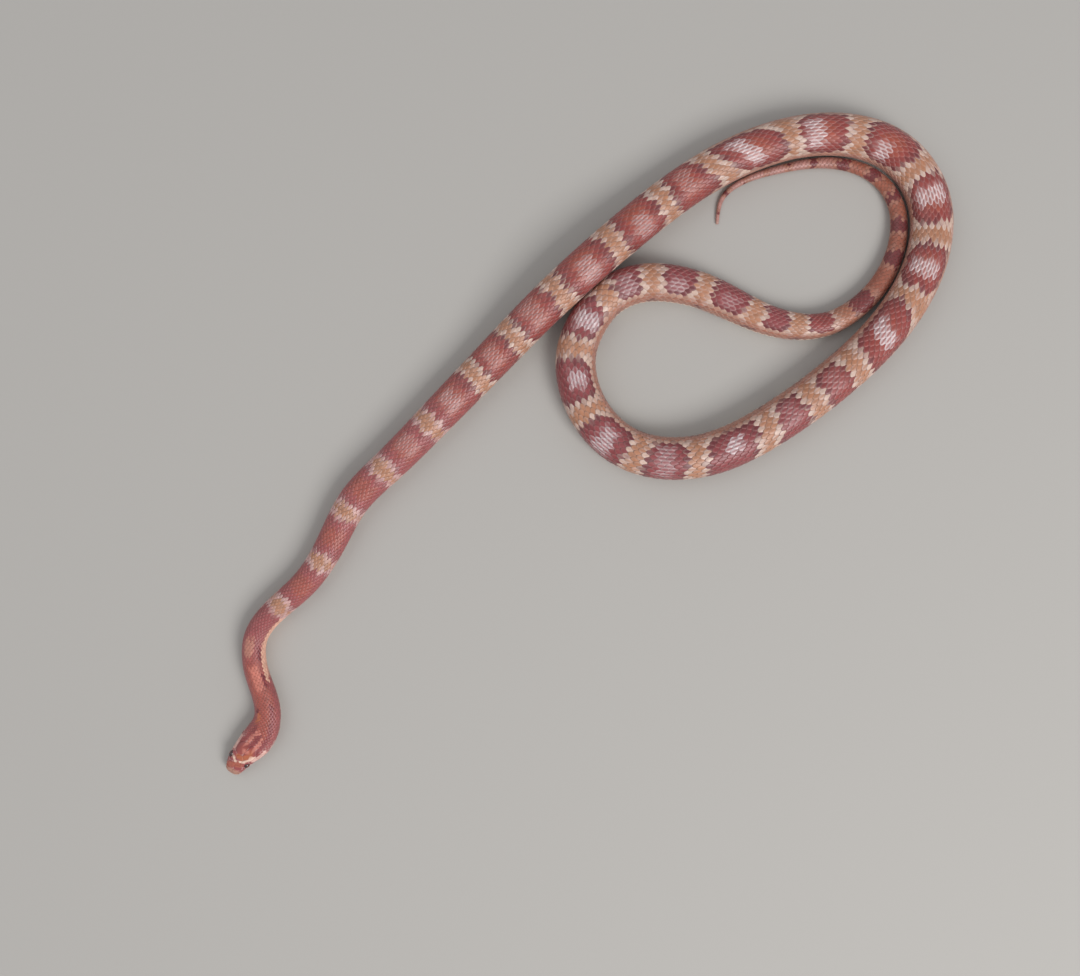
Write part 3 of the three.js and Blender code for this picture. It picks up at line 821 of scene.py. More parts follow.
    def _pale_and_highlight(self, station: Array, across: Array) -> Array:
        """Give how far a place lies in a whitish patch in the middle of a saddle, partly skin and
        partly painted highlight.

        Args:
            station: Stations with the saddles' slant.
            across: Distances from the middle line.

        Returns:
            Nought outside the patches, up to each patch's own strength.
        """
        found = np.zeros(len(station))
        for middle, low, high, strength in self.pale_and_highlight_patches:
            near = 1 - eased(np.abs(station - middle), 2.8, 6.4)
            found = np.maximum(found, strength * near * eased(across, low - 1, low + 1)
                               * (1 - eased(across, high - 1, high + 1)))
        return found

    def _ground(
        self, station: Array, folded: Array, depth: Array, middle: Array, reach: Array,
    ) -> Array:
        """Colour the bands between the saddles, and the flanks, whose peach colour is darkened in part
        by painted shade.

        Args:
            station: Stations along the route.
            folded: Shares of the girth, -0.5 to 0.5.
            depth: How far into the gap the place lies: nought at its edge, one at its middle.
            middle: The share at the middle of the saddles.
            reach: The share that the saddles reach to each side.

        Returns:
            Linear colours, one row each.
        """
        tail = eased(station, *self.tail)
        front = 1 - eased(station, *self.front)
        core = mixed(self.orange, self.tail_orange, tail)
        core = mixed(core, self.pink, eased(station, 1168, 1200) * 0.55)
        border = mixed(mixed(self.cream, self.pink, front), self.tail_orange, tail * 0.8)
        colour = mixed(border, core, eased(depth, 0.12, 0.5))
        # The flank colour is darkened in part by painted shade.
        flank_with_shade = mixed(self.flank_with_shade, self.front_red, front * 0.7)
        return mixed(colour, flank_with_shade, eased(np.abs(folded - middle), reach * 0.92, reach * 1.15))

    def body(self, station: Array, share: Array, role: Role = Role.SCALE) -> Array:
        """Colour the scales, their edges or the skin between them.

        Args:
            station: Stations along the route.
            share: Shares of the girth from the middle of the back.
            role: What is coloured there.

        Returns:
            Linear colours, one row each.
        """
        folded, across, height, slanted = self._placed(station, share)
        offset, half, gap_half = self.nearest_gap(slanted)
        front = 1 - eased(station, *self.front)
        sideways = np.abs(across) / self.form.width(station) * 2
        half = half + gap_half * 0.5 * front * eased(sideways, 0.25, 0.9)
        depth = (np.abs(offset) - half) / gap_half
        middle = along(self.saddle_middle_at, station)
        reach = along(self.saddle_reach_at, station)
        colour = self._ground(station, folded, depth, middle, reach)
        inside = np.abs(offset / half) ** 4 + np.abs((folded - middle) / reach) ** 4
        red = mixed(self.red, self.purple_red, between(station, self.purple_from, self.purple_to))
        red = mixed(red, self.front_red, front)
        warm = (1 - eased(inside, 0.0, 0.12)) * (1 - eased(station, *self.warm_to))
        red = mixed(red, self.warm_red, warm * 0.6)
        rim = eased(inside, 0.2, 0.85) * (1 - 0.7 * front) * 0.75
        saddle = mixed(red, self.dark, np.maximum(rim, eased(station, *self.tail) * 0.7))
        on_saddle = 1 - eased(inside, 0.88, 1.12)
        colour = mixed(colour, saddle, on_saddle)
        lower = (np.abs(folded) - self.blotch_share) / 0.028
        spot = np.hypot((half + gap_half - np.abs(offset)) / 5, lower)
        blotch = 1 - eased(spot, 0.75, 1.15)
        blotch = blotch * between(station, self.blotch_from, self.blotch_to)
        colour = mixed(colour, self.dark, blotch * 0.7)
        # Whitish patches in the saddles' middles, partly painted highlight: the skin between the
        # scales takes them almost fully, the scales faintly.
        pale = self._pale_and_highlight(slanted, across) * on_saddle
        net = mixed(mixed(self.cream, self.pink, on_saddle), self.pale, pale)
        weight = role.value * (1 - 0.6 * eased(station, *self.tail))
        weight = weight + (1 - weight) * pale * (0.1 if role is Role.SCALE else 0.95)
        colour = mixed(colour, net, weight)
        colour = self._head_and_neck(colour, station, across, height)
        return mixed(colour, self._belly(station, folded), eased(np.abs(folded), *self.belly_from))

    def _head_and_neck(self, colour: Array, station: Array, across: Array, height: Array) -> Array:
        """Lay the strokes, the snout and the lips over the ground colour.

        Args:
            colour: Linear colours so far.
            station: Stations along the route.
            across: Distances from the middle line.
            height: Heights over the level of the belly.

        Returns:
            The changed colours.
        """
        colour = mixed(colour, self.snout, 1 - eased(station, 2.2, 4.2))
        for stroke in self.strokes:
            colour = mixed(colour, linear(*stroke.colour), stroke.over(station, across))
        over_lips = height - along(self.form.mouth_line, station)
        lips = (1 - eased(over_lips, 0.7, 1.9)) * (1 - eased(station, 23, 30))
        return mixed(colour, self.lip, lips)

    def _belly(self, station: Array, folded: Array) -> Array:
        """Colour the belly: cream, with muted checks that start behind the throat.

        Args:
            station: Stations along the route.
            folded: Shares of the girth, -0.5 to 0.5.

        Returns:
            Linear colours, one row each.
        """
        number = np.round(station / self.checker_length)
        draw = np.sin(number * 12.9898 + np.sign(folded) * 4.1414) * 43758.5453
        check = (draw - np.floor(draw) > 0.5) & (station > self.checker_start)
        from_side = between(np.abs(folded), (0.338, 0.35), (0.44, 0.455))
        return mixed(self.belly, self.checker, check * from_side * 0.75)


@dataclass
class Skin:
    """The one skin under all the scales, with the groove of the mouth."""

    form: BodyForm
    markings: Markings
    unwrap: BakeMap
    depth_at: Table = (
        (0, 0.05), (20, 0.07), (34, 0.38), (1000, 0.42), (1100, 0.34), (1200, 0.2), (1276, 0.08),
    )
    head_step: float = 0.3
    body_step: float = 1.5
    head_end: float = 36
    columns: int = 96
    lip_column: float = 0.33
    groove: float = 0.32
    groove_half: float = 0.16
    snout_bulge: float = -0.22
    tail_bulge: float = 0.3
    dome_sizes: tuple[float, ...] = (0.86, 0.6, 0.3)

    def _stations(self) -> Array:
        """Choose the stations of the rings, closest on the head."""
        head = np.arange(0, self.head_end, self.head_step)
        return np.concatenate([head, np.arange(self.head_end, self.form.route.length, self.body_step),
                               [self.form.route.length]])

    def _shares(self, stations: Array) -> Array:
        """Lay the columns so that one of them follows the line of the lips.

        Args:
            stations: Stations of the rings.

        Returns:
            A share for each ring and column, from -0.5 up to 0.5.
        """
        lip = self.form.share_at_height(stations, along(self.form.mouth_line, stations))
        lip = lip + (self.lip_column - lip) * eased(stations, 24.6, 30)
        half = self.columns // 2
        even = np.linspace(0, 0.5, half + 1)
        near_lip = np.abs(even - self.lip_column).argsort()[:3]
        even[np.sort(near_lip)] = self.lip_column + np.array([-0.004, 0, 0.004])
        even = even[None, :]
        lip = lip[:, None]
        above = even * lip / self.lip_column
        below = lip + (even - self.lip_column) * (0.5 - lip) / (0.5 - self.lip_column)
        right = np.where(even < self.lip_column, above, below)
        return np.hstack([-right[:, :0:-1], right])

    def build(self, finish: bpy.types.Material) -> bpy.types.Object:
        """Make the skin in place of the nodes of flesh.

        Args:
            finish: The material of the skin.

        Returns:
            The finished object.
        """
        stations = self._stations()
        shares = self._shares(stations)
        rings, width = shares.shape
        width -= 1
        across = np.broadcast_to(stations[:, None], shares.shape)
        lip = self.form.share_at_height(stations, along(self.form.mouth_line, stations))[:, None]
        from_lip = (np.abs(shares) - lip) * self.form.girth(stations)[:, None]
        groove = self.groove * (1 - eased(np.abs(from_lip), 0, self.groove_half))
        groove = groove * (1 - eased(across, 24.2, 25.2)) * eased(across, 0.0, 0.6)
        raised = -along(self.depth_at, across) - groove
        folded = np.abs(shares)
        belly = eased(folded, 0.322, 0.336) * eased(across, 33, 36)
        raised = raised - belly * np.minimum(0.22, 0.02 * self.form.width(across))
        points = self.form.surface(across[:, :-1], shares[:, :-1], raised[:, :-1])
        colours = self.markings.body(across[:, :-1].ravel(), shares[:, :-1].ravel(), Role.SKIN)
        # Painted shade: the groove of the mouth is darkened toward the dark colour.
        shade = np.clip(groove[:, :-1].ravel() / self.groove, 0, 1)
        colours = mixed(colours, self.markings.dark, shade * 0.8)
        faces = ring_faces(rings, width)
        ring, column = np.divmod(np.arange(len(faces)), width)
        strip = np.repeat(self.unwrap.strip((stations[ring] + stations[ring + 1]) / 2), 4)
        corner_ring = np.stack([ring, ring, ring + 1, ring + 1], axis=1).ravel()
        corner_column = np.stack([column, column + 1, column + 1, column], axis=1).ravel()
        places = self.unwrap.place(
            stations[corner_ring], shares[corner_ring, corner_column], strip)
        piece = Piece("skin")
        piece.add(points, (faces,), colours, places.reshape(-1, 4, 2))
        self._close(piece, points[:width], colours[:width], stations[0], self.snout_bulge)
        self._close(piece, points[-width:], colours[-width:], stations[-1], self.tail_bulge)
        made = piece.build(finish, Slot.SCALED_SKIN)
        self._weld(made)
        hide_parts(*FLESH_NODES)
        return made

    def _close(self, piece: Piece, edge: Array, colours: Array, station: float, bulge: float) -> None:
        """Close an end of the skin with a low dome.

        Args:
            piece: The mesh in the making.
            edge: The last ring of points.
            colours: Their colours.
            station: The station of the ring.
            bulge: How far the dome stands out along the body.
        """
        width = len(edge)
        middle = edge.mean(axis=0)
        forward = self.form.route.frames(np.array([station]))[1][0]
        rings = [edge]
        for size in self.dome_sizes:
            rings.append(middle + (edge - middle) * size + forward * bulge * (1 - size ** 2))
        points = np.concatenate([*rings, [middle + forward * bulge]])
        count = len(rings)
        faces, tip = ring_faces(count, width), fan_faces((count - 1) * width, width, count * width)
        if bulge < 0:
            faces, tip = faces[:, ::-1], tip[:, ::-1]
        tints = np.concatenate([np.tile(colours, (count, 1)), [colours.mean(axis=0)]])
        spot = self.unwrap.place(np.array([station]), np.array([0.0]))
        shares = np.concatenate([np.tile(np.linspace(-0.5, 0.5, width), count), [0.0]])
        places = spot + np.column_stack([np.zeros(len(shares)), shares * 0.004])
        piece.add(points, (faces, tip), tints, places)

    @staticmethod
    def _weld(made: bpy.types.Object) -> None:
        """Join points that lie on one another, so that the skin is one closed surface.

        Args:
            made: The skin's object.
        """
        shell = bmesh.new()
        shell.from_mesh(made.data)
        bmesh.ops.remove_doubles(shell, verts=shell.verts, dist=1e-7)
        bmesh.ops.recalc_face_normals(shell, faces=shell.faces)
        shell.to_mesh(made.data)
        shell.free()


@dataclass
class DorsalScales:
    """The overlapping scales of the back and flanks, in staggered rows."""

    form: BodyForm
    markings: Markings
    unwrap: BakeMap
    seed: int = 7
    edge: float = 0.332
    rows: int = 27
    merges: tuple[tuple[float, int], ...] = (
        (640, 8), (905, 8), (1046, 6), (1105, 5), (1160, 4), (1215, 3),
    )
    merge_length: float = 16
    start_at: Table = ((0, 21.6), (0.05, 21.5), (0.1, 20.2), (0.16, 20.6), (0.25, 22.2), (0.332, 26))
    pitch_at: Table = (
        (20, 1.7), (30, 2.2), (60, 2.7), (160, 3.7), (300, 4.4), (620, 4.7), (880, 4.4), (1036, 3.6),
        (1120, 3.0), (1200, 2.3), (1276, 1.5),
    )
    reach: float = 0.63
    spread: float = 0.86
    around: int = 10
    ring_sizes: tuple[float, ...] = (0.86, 1.0, 0.8, 0.45)
    dome: tuple[float, ...] = (0, 0, 0.07, 0.13, 0.15)
    edge_shares: tuple[float, ...] = (1.0, 0.85, 0.3, 0, 0)
    root: float = -0.52
    full_width: float = 12
    ragged: float = 1.5
    tone: float = 0.09
    per_piece: int = 2400

    def _layout(self) -> tuple[Array, Array, Array, Array]:
        """Place every scale.

        Returns:
            Station, share, half length in millimetres and half width in millimetres of each scale.
        """
        fine = np.arange(15, self.form.route.length, 0.5)
        turns = np.concatenate([[0], np.cumsum(0.5 / along(self.pitch_at, fine)[:-1])])
        weights = np.ones((self.rows, len(fine)))
        alive = list(range(self.rows))
        for station, inner in self.merges:
            fade = 1 - eased(fine, station, station + self.merge_length)
            middle = len(alive) // 2
            gone = [middle - inner, middle - inner + 1, middle + inner - 1, middle + inner]
            gone = [alive[i] for i in gone if 0 <= i < len(alive)]
            for row in gone:
                weights[row] = np.minimum(weights[row], fade)
                alive.remove(row)
        total = weights.sum(axis=0)
        middles = (np.cumsum(weights, axis=0) - weights / 2) / total
        shares = (middles - 0.5) * 2 * self.edge
        girth = self.form.girth(fine)
        stations, places, lengths, widths = [], [], [], []
        for row in range(self.rows):
            count = int(turns[-1])
            steps = np.arange(count) + 0.5 * (row % 2)
            spots = np.interp(steps, turns, fine)
            weight = np.interp(spots, fine, weights[row])
            share = np.interp(spots, fine, shares[row])
            first = along(self.start_at, np.abs(share))
            pitch = along(self.pitch_at, spots)
            kept = (weight > 0.4) & (spots - self.reach * pitch > first - 1.2)
            kept &= spots + self.reach * pitch < self.form.route.length
            spacing = np.interp(spots, fine, girth / total) * 2 * self.edge
            stations.append(spots[kept])
            places.append(share[kept])
            lengths.append((pitch * self.reach)[kept])
            widths.append((spacing * weight * self.spread)[kept])
        return tuple(np.concatenate(part) for part in (stations, places, lengths, widths))

    def build(self, finish: bpy.types.Material) -> list[bpy.types.Object]:
        """Make the scales, joined into a few pieces.

        Args:
            finish: The material of the scales.

        Returns:
            The finished objects, from the neck on.
        """
        draw = np.random.default_rng(self.seed)
        station, share, half_length, half_width = self._layout()
        order = np.argsort(station, kind="stable")
        station, share, half_length, half_width = (
            part[order] for part in (station, share, half_length, half_width))
        count = len(station)
        half_length = half_length * draw.uniform(0.96, 1.04, count)
        half_width = half_width * draw.uniform(0.96, 1.04, count)
        angle = np.arange(self.around) * 2 * math.pi / self.around
        x, y = np.cos(angle), np.sin(angle)
        x, y = np.sign(x) * np.abs(x) ** 1.1, np.sign(y) * np.abs(y) ** 1.15
        local_x = np.concatenate([np.outer(self.ring_sizes, x).ravel(), [0.0]])
        local_y = np.concatenate([np.outer(self.ring_sizes, y).ravel(), [0.0]])
        ring_of = np.concatenate([np.repeat(np.arange(4), self.around), [4]])
        thin = np.minimum(1.0, self.form.width(station) / self.full_width)[:, None]
        slope = -0.27 + 0.22 * local_x
        dome = np.array(self.dome)[ring_of] + 0.05 * (1 - local_y ** 2) * (ring_of > 1)
        raised = (slope + dome)[None, :] * thin
        raised = np.where(ring_of[None, :] == 0, self.root * thin, raised)
        along_body = station[:, None] + local_x[None, :] * half_length[:, None]
        girth = self.form.girth(station)[:, None]
        round_body = share[:, None] + local_y[None, :] * half_width[:, None] / girth
        points = self.form.surface(along_body, round_body, raised).reshape(count, -1, 3)
        strayed = station + draw.uniform(-self.ragged, self.ragged, count)
        own = self.markings.body(strayed, share + draw.uniform(-0.006, 0.006, count))
        own = own * draw.uniform(1 - self.tone, 1 + self.tone, (count, 1))
        edge = self.markings.body(station, share, Role.EDGE)
        edge_share = np.array(self.edge_shares)[ring_of]
        tints = mixed(own[:, None, :], edge[:, None, :], edge_share[None, :])
        # Whitish streaks on the scales' sides, partly painted highlight in the saddles' middles.
        streak_and_highlight = self.markings.streak_and_highlight(strayed, share) * draw.uniform(0.6, 1.0, count)
        sides = np.clip(np.abs(local_y) * 1.5, 0, 1) * (ring_of > 0)
        tints = mixed(tints, self.markings.pale, streak_and_highlight[:, None] * sides[None, :])
        root = self.unwrap.place(station, share)[:, None, :]
        patch = np.column_stack([local_x, local_y])[None, :, :] * self.unwrap.patch
        places = root + patch
        quads, fans = self._faces()
        made = []
        for first in range(0, count, self.per_piece):
            chosen = np.arange(first, min(first + self.per_piece, count))
            size = points.shape[1]
            start = (np.arange(len(chosen)) * size)[:, None, None]
            piece = Piece(f"back_scales_{len(made) + 1}")
            flat_points = points[chosen].reshape(-1, 3)
            flat_tints = tints[chosen].reshape(-1, 3)
            flat_places = places[chosen].reshape(-1, 2)
            faces = ((quads[None] + start).reshape(-1, 4), (fans[None] + start).reshape(-1, 3))
            piece.add(flat_points, faces, flat_tints, flat_places)
            made.append(piece.build(finish, Slot.SCALED_SKIN))
        return made

    def _faces(self) -> tuple[Array, Array]:
        """Number the faces of one scale.

        Returns:
            Four-cornered faces between the rings, and three-cornered ones at its top and bottom.
        """
        n, rings = self.around, len(self.ring_sizes)
        fans = np.concatenate([fan_faces((rings - 1) * n, n, rings * n), base_faces(n)])
        return ring_faces(rings, n), fans


@dataclass
class BellyScutes:
    """The wide plates under the body and the paired plates under the tail."""

    form: BodyForm
    markings: Markings
    unwrap: BakeMap
    pitch_at: Table
    start: float = 29
    vent: float = 1036
    edge: float = 0.334
    across: int = 17
    profile: tuple[tuple[float, float, float], ...] = (
        (-0.12, -0.62, -1), (0.0, -0.42, -1), (0.16, -0.16, -0.6), (0.5, -0.06, 0),
        (0.9, -0.02, 0.5), (1.06, -0.03, 1), (1.1, -0.14, 1), (1.08, -0.6, 1),
    )
    bed: float = -0.64
    full_width: float = 11

    def build(self, finish: bpy.types.Material) -> bpy.types.Object:
        """Make the belly plates, each tucked under the one in front of it.

        Args:
            finish: The material of the plates.

        Returns:
            The finished object.
        """
        piece = Piece("belly_scutes")
        station = self.start
        while station < self.form.route.length - 2.5:
            pitch = float(along(self.pitch_at, np.array([station]))[0])
            if station < self.vent:
                self._plate(piece, station, pitch, self.edge, 1 - self.edge)
            else:
                self._plate(piece, station, pitch, self.edge + 0.004, 0.4985)
                self._plate(piece, station + pitch * 0.5, pitch, 0.5015, 1 - self.edge - 0.004)
            station += pitch
        return piece.build(finish, Slot.BELLY_SKIN)

    def _plate(self, piece: Piece, station: float, pitch: float, start: float, end: float) -> None:
        """Add one plate.

        Args:
            piece: The mesh in the making.
            station: The station of the plate's front.
            pitch: The distance to the next plate.
            start: Share of the girth where the plate starts.
            end: Share of the girth where it ends, counted on past 0.5.
        """
        columns = self.across if end - start > 0.2 else self.across // 2
        along_plate, heights, rounded = (np.array(row) for row in zip(*self.profile))
        v = np.linspace(-1, 1, columns)
        rounding = 0.35 * np.abs(v) ** 8
        u = along_plate[:, None] - rounding[None, :] * rounded[:, None]
        size = float(np.minimum(1.0, self.form.width(np.array([station]))[0] / self.full_width))
        rim = 0.1 * np.abs(v) ** 10
        raised = (heights[:, None] - rim[None, :]) * size
        share = (start + end) / 2 + (end - start) / 2 * v
        stations = station + u * pitch
        grid = np.broadcast_to(share[None, :], stations.shape)
        top = self.form.surface(stations, grid, raised)
        bottom = self.form.surface(stations, grid, np.full(stations.shape, self.bed * size))
        rows = len(along_plate)
        number = np.arange(rows * columns).reshape(rows, columns)
        quads = np.stack([
            number[:-1, :-1].ravel(), number[:-1, 1:].ravel(), number[1:, 1:].ravel(),
            number[1:, :-1].ravel()], axis=1)
        loop = np.concatenate([number[0, :-1], number[:-1, -1], number[-1, :0:-1], number[:0:-1, 0]])
        following = np.roll(loop, -1)
        offset = rows * columns
        walls = np.stack([following, loop, loop + offset, following + offset], axis=1)
        faces = np.concatenate([quads, quads[:, ::-1] + offset, walls])
        points = np.concatenate([top, bottom])
        folded = grid - np.round(grid)
        colours = self.markings.body(np.full(grid.size, station + pitch / 2), folded.ravel())
        middle = np.array([station + pitch / 2])
        root = self.unwrap.place(middle, np.array([(start + end) / 2 - round((start + end) / 2)]))
        local = np.column_stack([
            np.broadcast_to(along_plate[:, None], stations.shape).ravel() * 2 - 1,
            np.broadcast_to(v[None, :], stations.shape).ravel()]) * self.unwrap.patch
        piece.add(points, (faces,), np.tile(colours, (2, 1)), np.tile(root + local, (2, 1)))


@dataclass
class HeadShields:
    """The large plates of the crown, cheeks, lips and chin."""

    form: BodyForm
    markings: Markings
    unwrap: BakeMap
    rise: float = 0.2
    seam: float = 0.09
    profile: tuple[tuple[float, float, float], ...] = (
        (0.97, -2.0, 1), (1.0, 0.3, 0.8), (0.96, 0.75, 0.3), (0.86, 1.0, 0), (0.6, 1.08, 0),
        (0.3, 1.12, 0),
    )
    throat: tuple[float, float, float] = (14.6, 27.0, 1.2)
    upper_lip: tuple[float, ...] = (1.15, 2.9, 4.8, 6.9, 9.2, 11.7, 15.0, 19.3, 23.9)
    lower_lip: tuple[float, ...] = (1.7, 2.9, 4.2, 5.7, 7.4, 9.4, 11.6, 14.2, 17.0, 19.6, 21.9, 23.8)
    upper_lip_height_at: Table = (
        (0, 1.2), (3, 1.35), (7, 1.1), (11.7, 1.1), (15, 1.9), (20, 2.2), (24, 1.5),
    )

    def _above_lip(self, station: float) -> float:
        """Give the share where the upper lip's plates end."""
        return self._beside_lip(station, along(self.upper_lip_height_at, np.array([station])))

    def _beside_lip(self, station: float, rise: float | Array) -> float:
        """Give the share at a height over or under the line of the mouth."""
        height = along(self.form.mouth_line, np.array([station])) + rise
        return float(self.form.share_at_height(np.array([station]), height)[0])

    def outlines(self) -> list[list[tuple[float, float]]]:
        """List the corners of every plate.

        Returns:
            For each plate, its corners as pairs of station and share, in order round it.
        """
        top = self._above_lip
        one_side = [
            [(1.2, 0.003), (1.2, 0.09), (2.2, 0.13), (3.3, 0.1), (3.35, 0.003)],
            [(3.45, 0.003), (3.4, 0.1), (4.7, 0.15), (6.7, 0.13), (6.9, 0.068), (6.5, 0.003)],
            [(7.0, 0.07), (6.9, 0.135), (8.6, 0.165), (11.2, 0.165), (12.6, 0.12), (11.6, 0.058)],
            [(13.3, 0.003), (11.8, 0.06), (12.8, 0.125), (15, 0.15), (18.5, 0.125), (21.4, 0.05),
             (21.3, 0.003)],
            [(1.2, 0.1), (1.1, top(1.2)), (2.0, top(2.0)), (1.95, 0.135)],
            [(2.05, 0.14), (2.1, top(2.1)), (3.6, top(3.6)), (3.4, 0.15), (3.2, 0.11)],
            [(3.5, 0.115), (3.7, top(3.7)), (5.6, top(5.6)), (5.5, 0.155), (4.7, 0.155)],
            [(5.7, 0.15), (5.7, top(5.7)), (7.6, top(7.6)), (7.6, 0.2), (6.8, 0.14)],
            [(12.7, 0.13), (11.5, 0.175), (11.7, 0.225), (13.4, 0.225), (13.4, 0.16)],
            [(11.8, 0.23), (11.5, top(11.6)), (13.6, top(13.6)), (13.5, 0.23)],
            [(13.5, 0.15), (13.5, 0.215), (17.4, 0.205), (17.3, 0.14), (15, 0.155)],
            [(13.6, 0.22), (13.7, top(13.7)), (17.6, top(17.6)), (17.5, 0.21)],
            [(17.4, 0.138), (17.5, 0.18), (21.0, 0.17), (20.6, 0.1), (18.5, 0.13)],
            [(17.5, 0.185), (17.6, 0.225), (21.3, 0.225), (21.1, 0.175)],
            [(17.6, 0.23), (17.7, top(17.7)), (21.8, top(21.8)), (21.4, 0.23)],
            [(3.0, 0.405), (3.2, 0.495), (8.2, 0.495), (8.6, 0.43)],
            [(8.4, 0.495), (8.8, 0.43), (13.5, 0.455), (13.2, 0.495)],
        ]
        for start, end in zip(self.upper_lip, self.upper_lip[1:]):
            one_side.append([(start, self._beside_lip(start, 0.25)), (start, top(start)),
                             (end, top(end)), (end, self._beside_lip(end, 0.25))])
        for start, end in zip(self.lower_lip, self.lower_lip[1:]):
            under = [(start, -0.25), (end, -0.25), (end, -1.5), (start, -1.5)]
            one_side.append([(station, self._beside_lip(station, rise)) for station, rise in under])
        for station in np.arange(*self.throat):
            for number in range(4):
                share = 0.405 + 0.028 * number + 0.014 * (round(station / self.throat[2]) % 2)
                if share < 0.49:
                    one_side.append([(station, share), (station + 1.1, share + 0.012),
                                     (station + 2.2, share), (station + 1.1, share - 0.012)])
        frontal = [(6.7, 0), (7.1, 0.062), (9.2, 0.052), (11.6, 0.052), (13.3, 0)]
        frontal += [(station, -share) for station, share in frontal[-2:0:-1]]
        rostral = [(0.1, 0.14), (1.05, 0.09), (1.3, 0.0), (1.05, -0.09), (0.1, -0.14)]
        plates = [frontal, rostral]
        for corners in one_side:
            plates.append(corners)
            plates.append([(station, -share) for station, share in corners])
        return plates

    def build(self, finish: bpy.types.Material) -> bpy.types.Object:
        """Make every plate as a low pillow with its root under the skin.

        Args:
            finish: The material of the plates.

        Returns:
            The finished object.
        """
        piece = Piece("head_shields")
        for corners in self.outlines():
            self._pillow(piece, np.array(corners, float))
        return piece.build(finish, Slot.SCALED_SKIN)

    def _pillow(self, piece: Piece, corners: Array) -> None:
        """Add one plate.

        Args:
            piece: The mesh in the making.
            corners: Its corners as rows of station and share.
        """
        middle = corners.mean(axis=0)
        girth = float(self.form.girth(np.array([middle[0]]))[0])
        flat = (corners - middle) * [1, girth]
        reach = np.linalg.norm(flat, axis=1).mean()
        following = np.roll(flat, -1, axis=0)
        fine = np.concatenate([
            start + (end - start) * np.linspace(0, 1, 8, endpoint=False)[:, None]
            for start, end in zip(flat, following)])
        for _ in range(3):
            fine = (np.roll(fine, 1, axis=0) + 2 * fine + np.roll(fine, -1, axis=0)) / 4
        fine = fine * max(1 - self.seam / reach, 0.6)
        count = len(fine)
        shrink, heights, seams = (np.array(row) for row in zip(*self.profile))
        inset = 1 - (1 - shrink) * np.minimum(1.0, 1.6 / reach)
        heights = heights * self.rise
        places = np.concatenate([fine * size for size in inset] + [np.zeros((1, 2))])
        raised = np.concatenate([np.repeat(heights, count), [heights[-1]]])
        station = middle[0] + places[:, 0]
        share = middle[1] + places[:, 1] / girth
        points = self.form.surface(station, share, raised)
        rings = len(inset)
        last = (rings - 1) * count
        quads = ring_faces(rings, count)[:, [0, 3, 2, 1]]
        fans = np.concatenate([fan_faces(last, count, rings * count), base_faces(count)])[:, [0, 2, 1]]
        turn = np.sum(flat[:, 0] * following[:, 1] - flat[:, 1] * following[:, 0])
        if turn > 0:
            quads, fans = quads[:, ::-1], fans[:, ::-1]
        edge = np.concatenate([np.repeat(seams, count), [0]])
        tints = mixed(self.markings.body(station, share),
                      self.markings.body(station, share, Role.EDGE), edge)
        root = self.unwrap.place(np.array([middle[0]]), np.array([middle[1]]))
        spots = root + places / max(np.abs(fine).max(), 1e-6) * self.unwrap.patch
        piece.add(points, (quads, fans), tints, spots)


@dataclass(frozen=True)
class EyeFinish:
    """A dark red iris round a darker pupil under a clear wet scale."""

    name: str = "eye"
    roughness: float = 0.12
    coat: float = 1.0
    coat_roughness: float = 0.03
    fibre: float = 0.25
    fibre_scale: float = 3000.0

    def material(self) -> bpy.types.Material:
        """Build the glossy material, coloured from the mesh.

        Returns:
            The new material.
        """
        made = bpy.data.materials.new(self.name)
        made.use_nodes = True
        shader = made.node_tree.nodes["Principled BSDF"]
        shader.inputs["Roughness"].default_value = self.roughness
        shader.inputs["Coat Weight"].default_value = self.coat
        shader.inputs["Coat Roughness"].default_value = self.coat_roughness
        spread = tinted(made, self.fibre_scale, 2.0)[1]
        spread.inputs["To Min"].default_value = 1 - self.fibre
        spread.inputs["To Max"].default_value = 1 + self.fibre
        return made


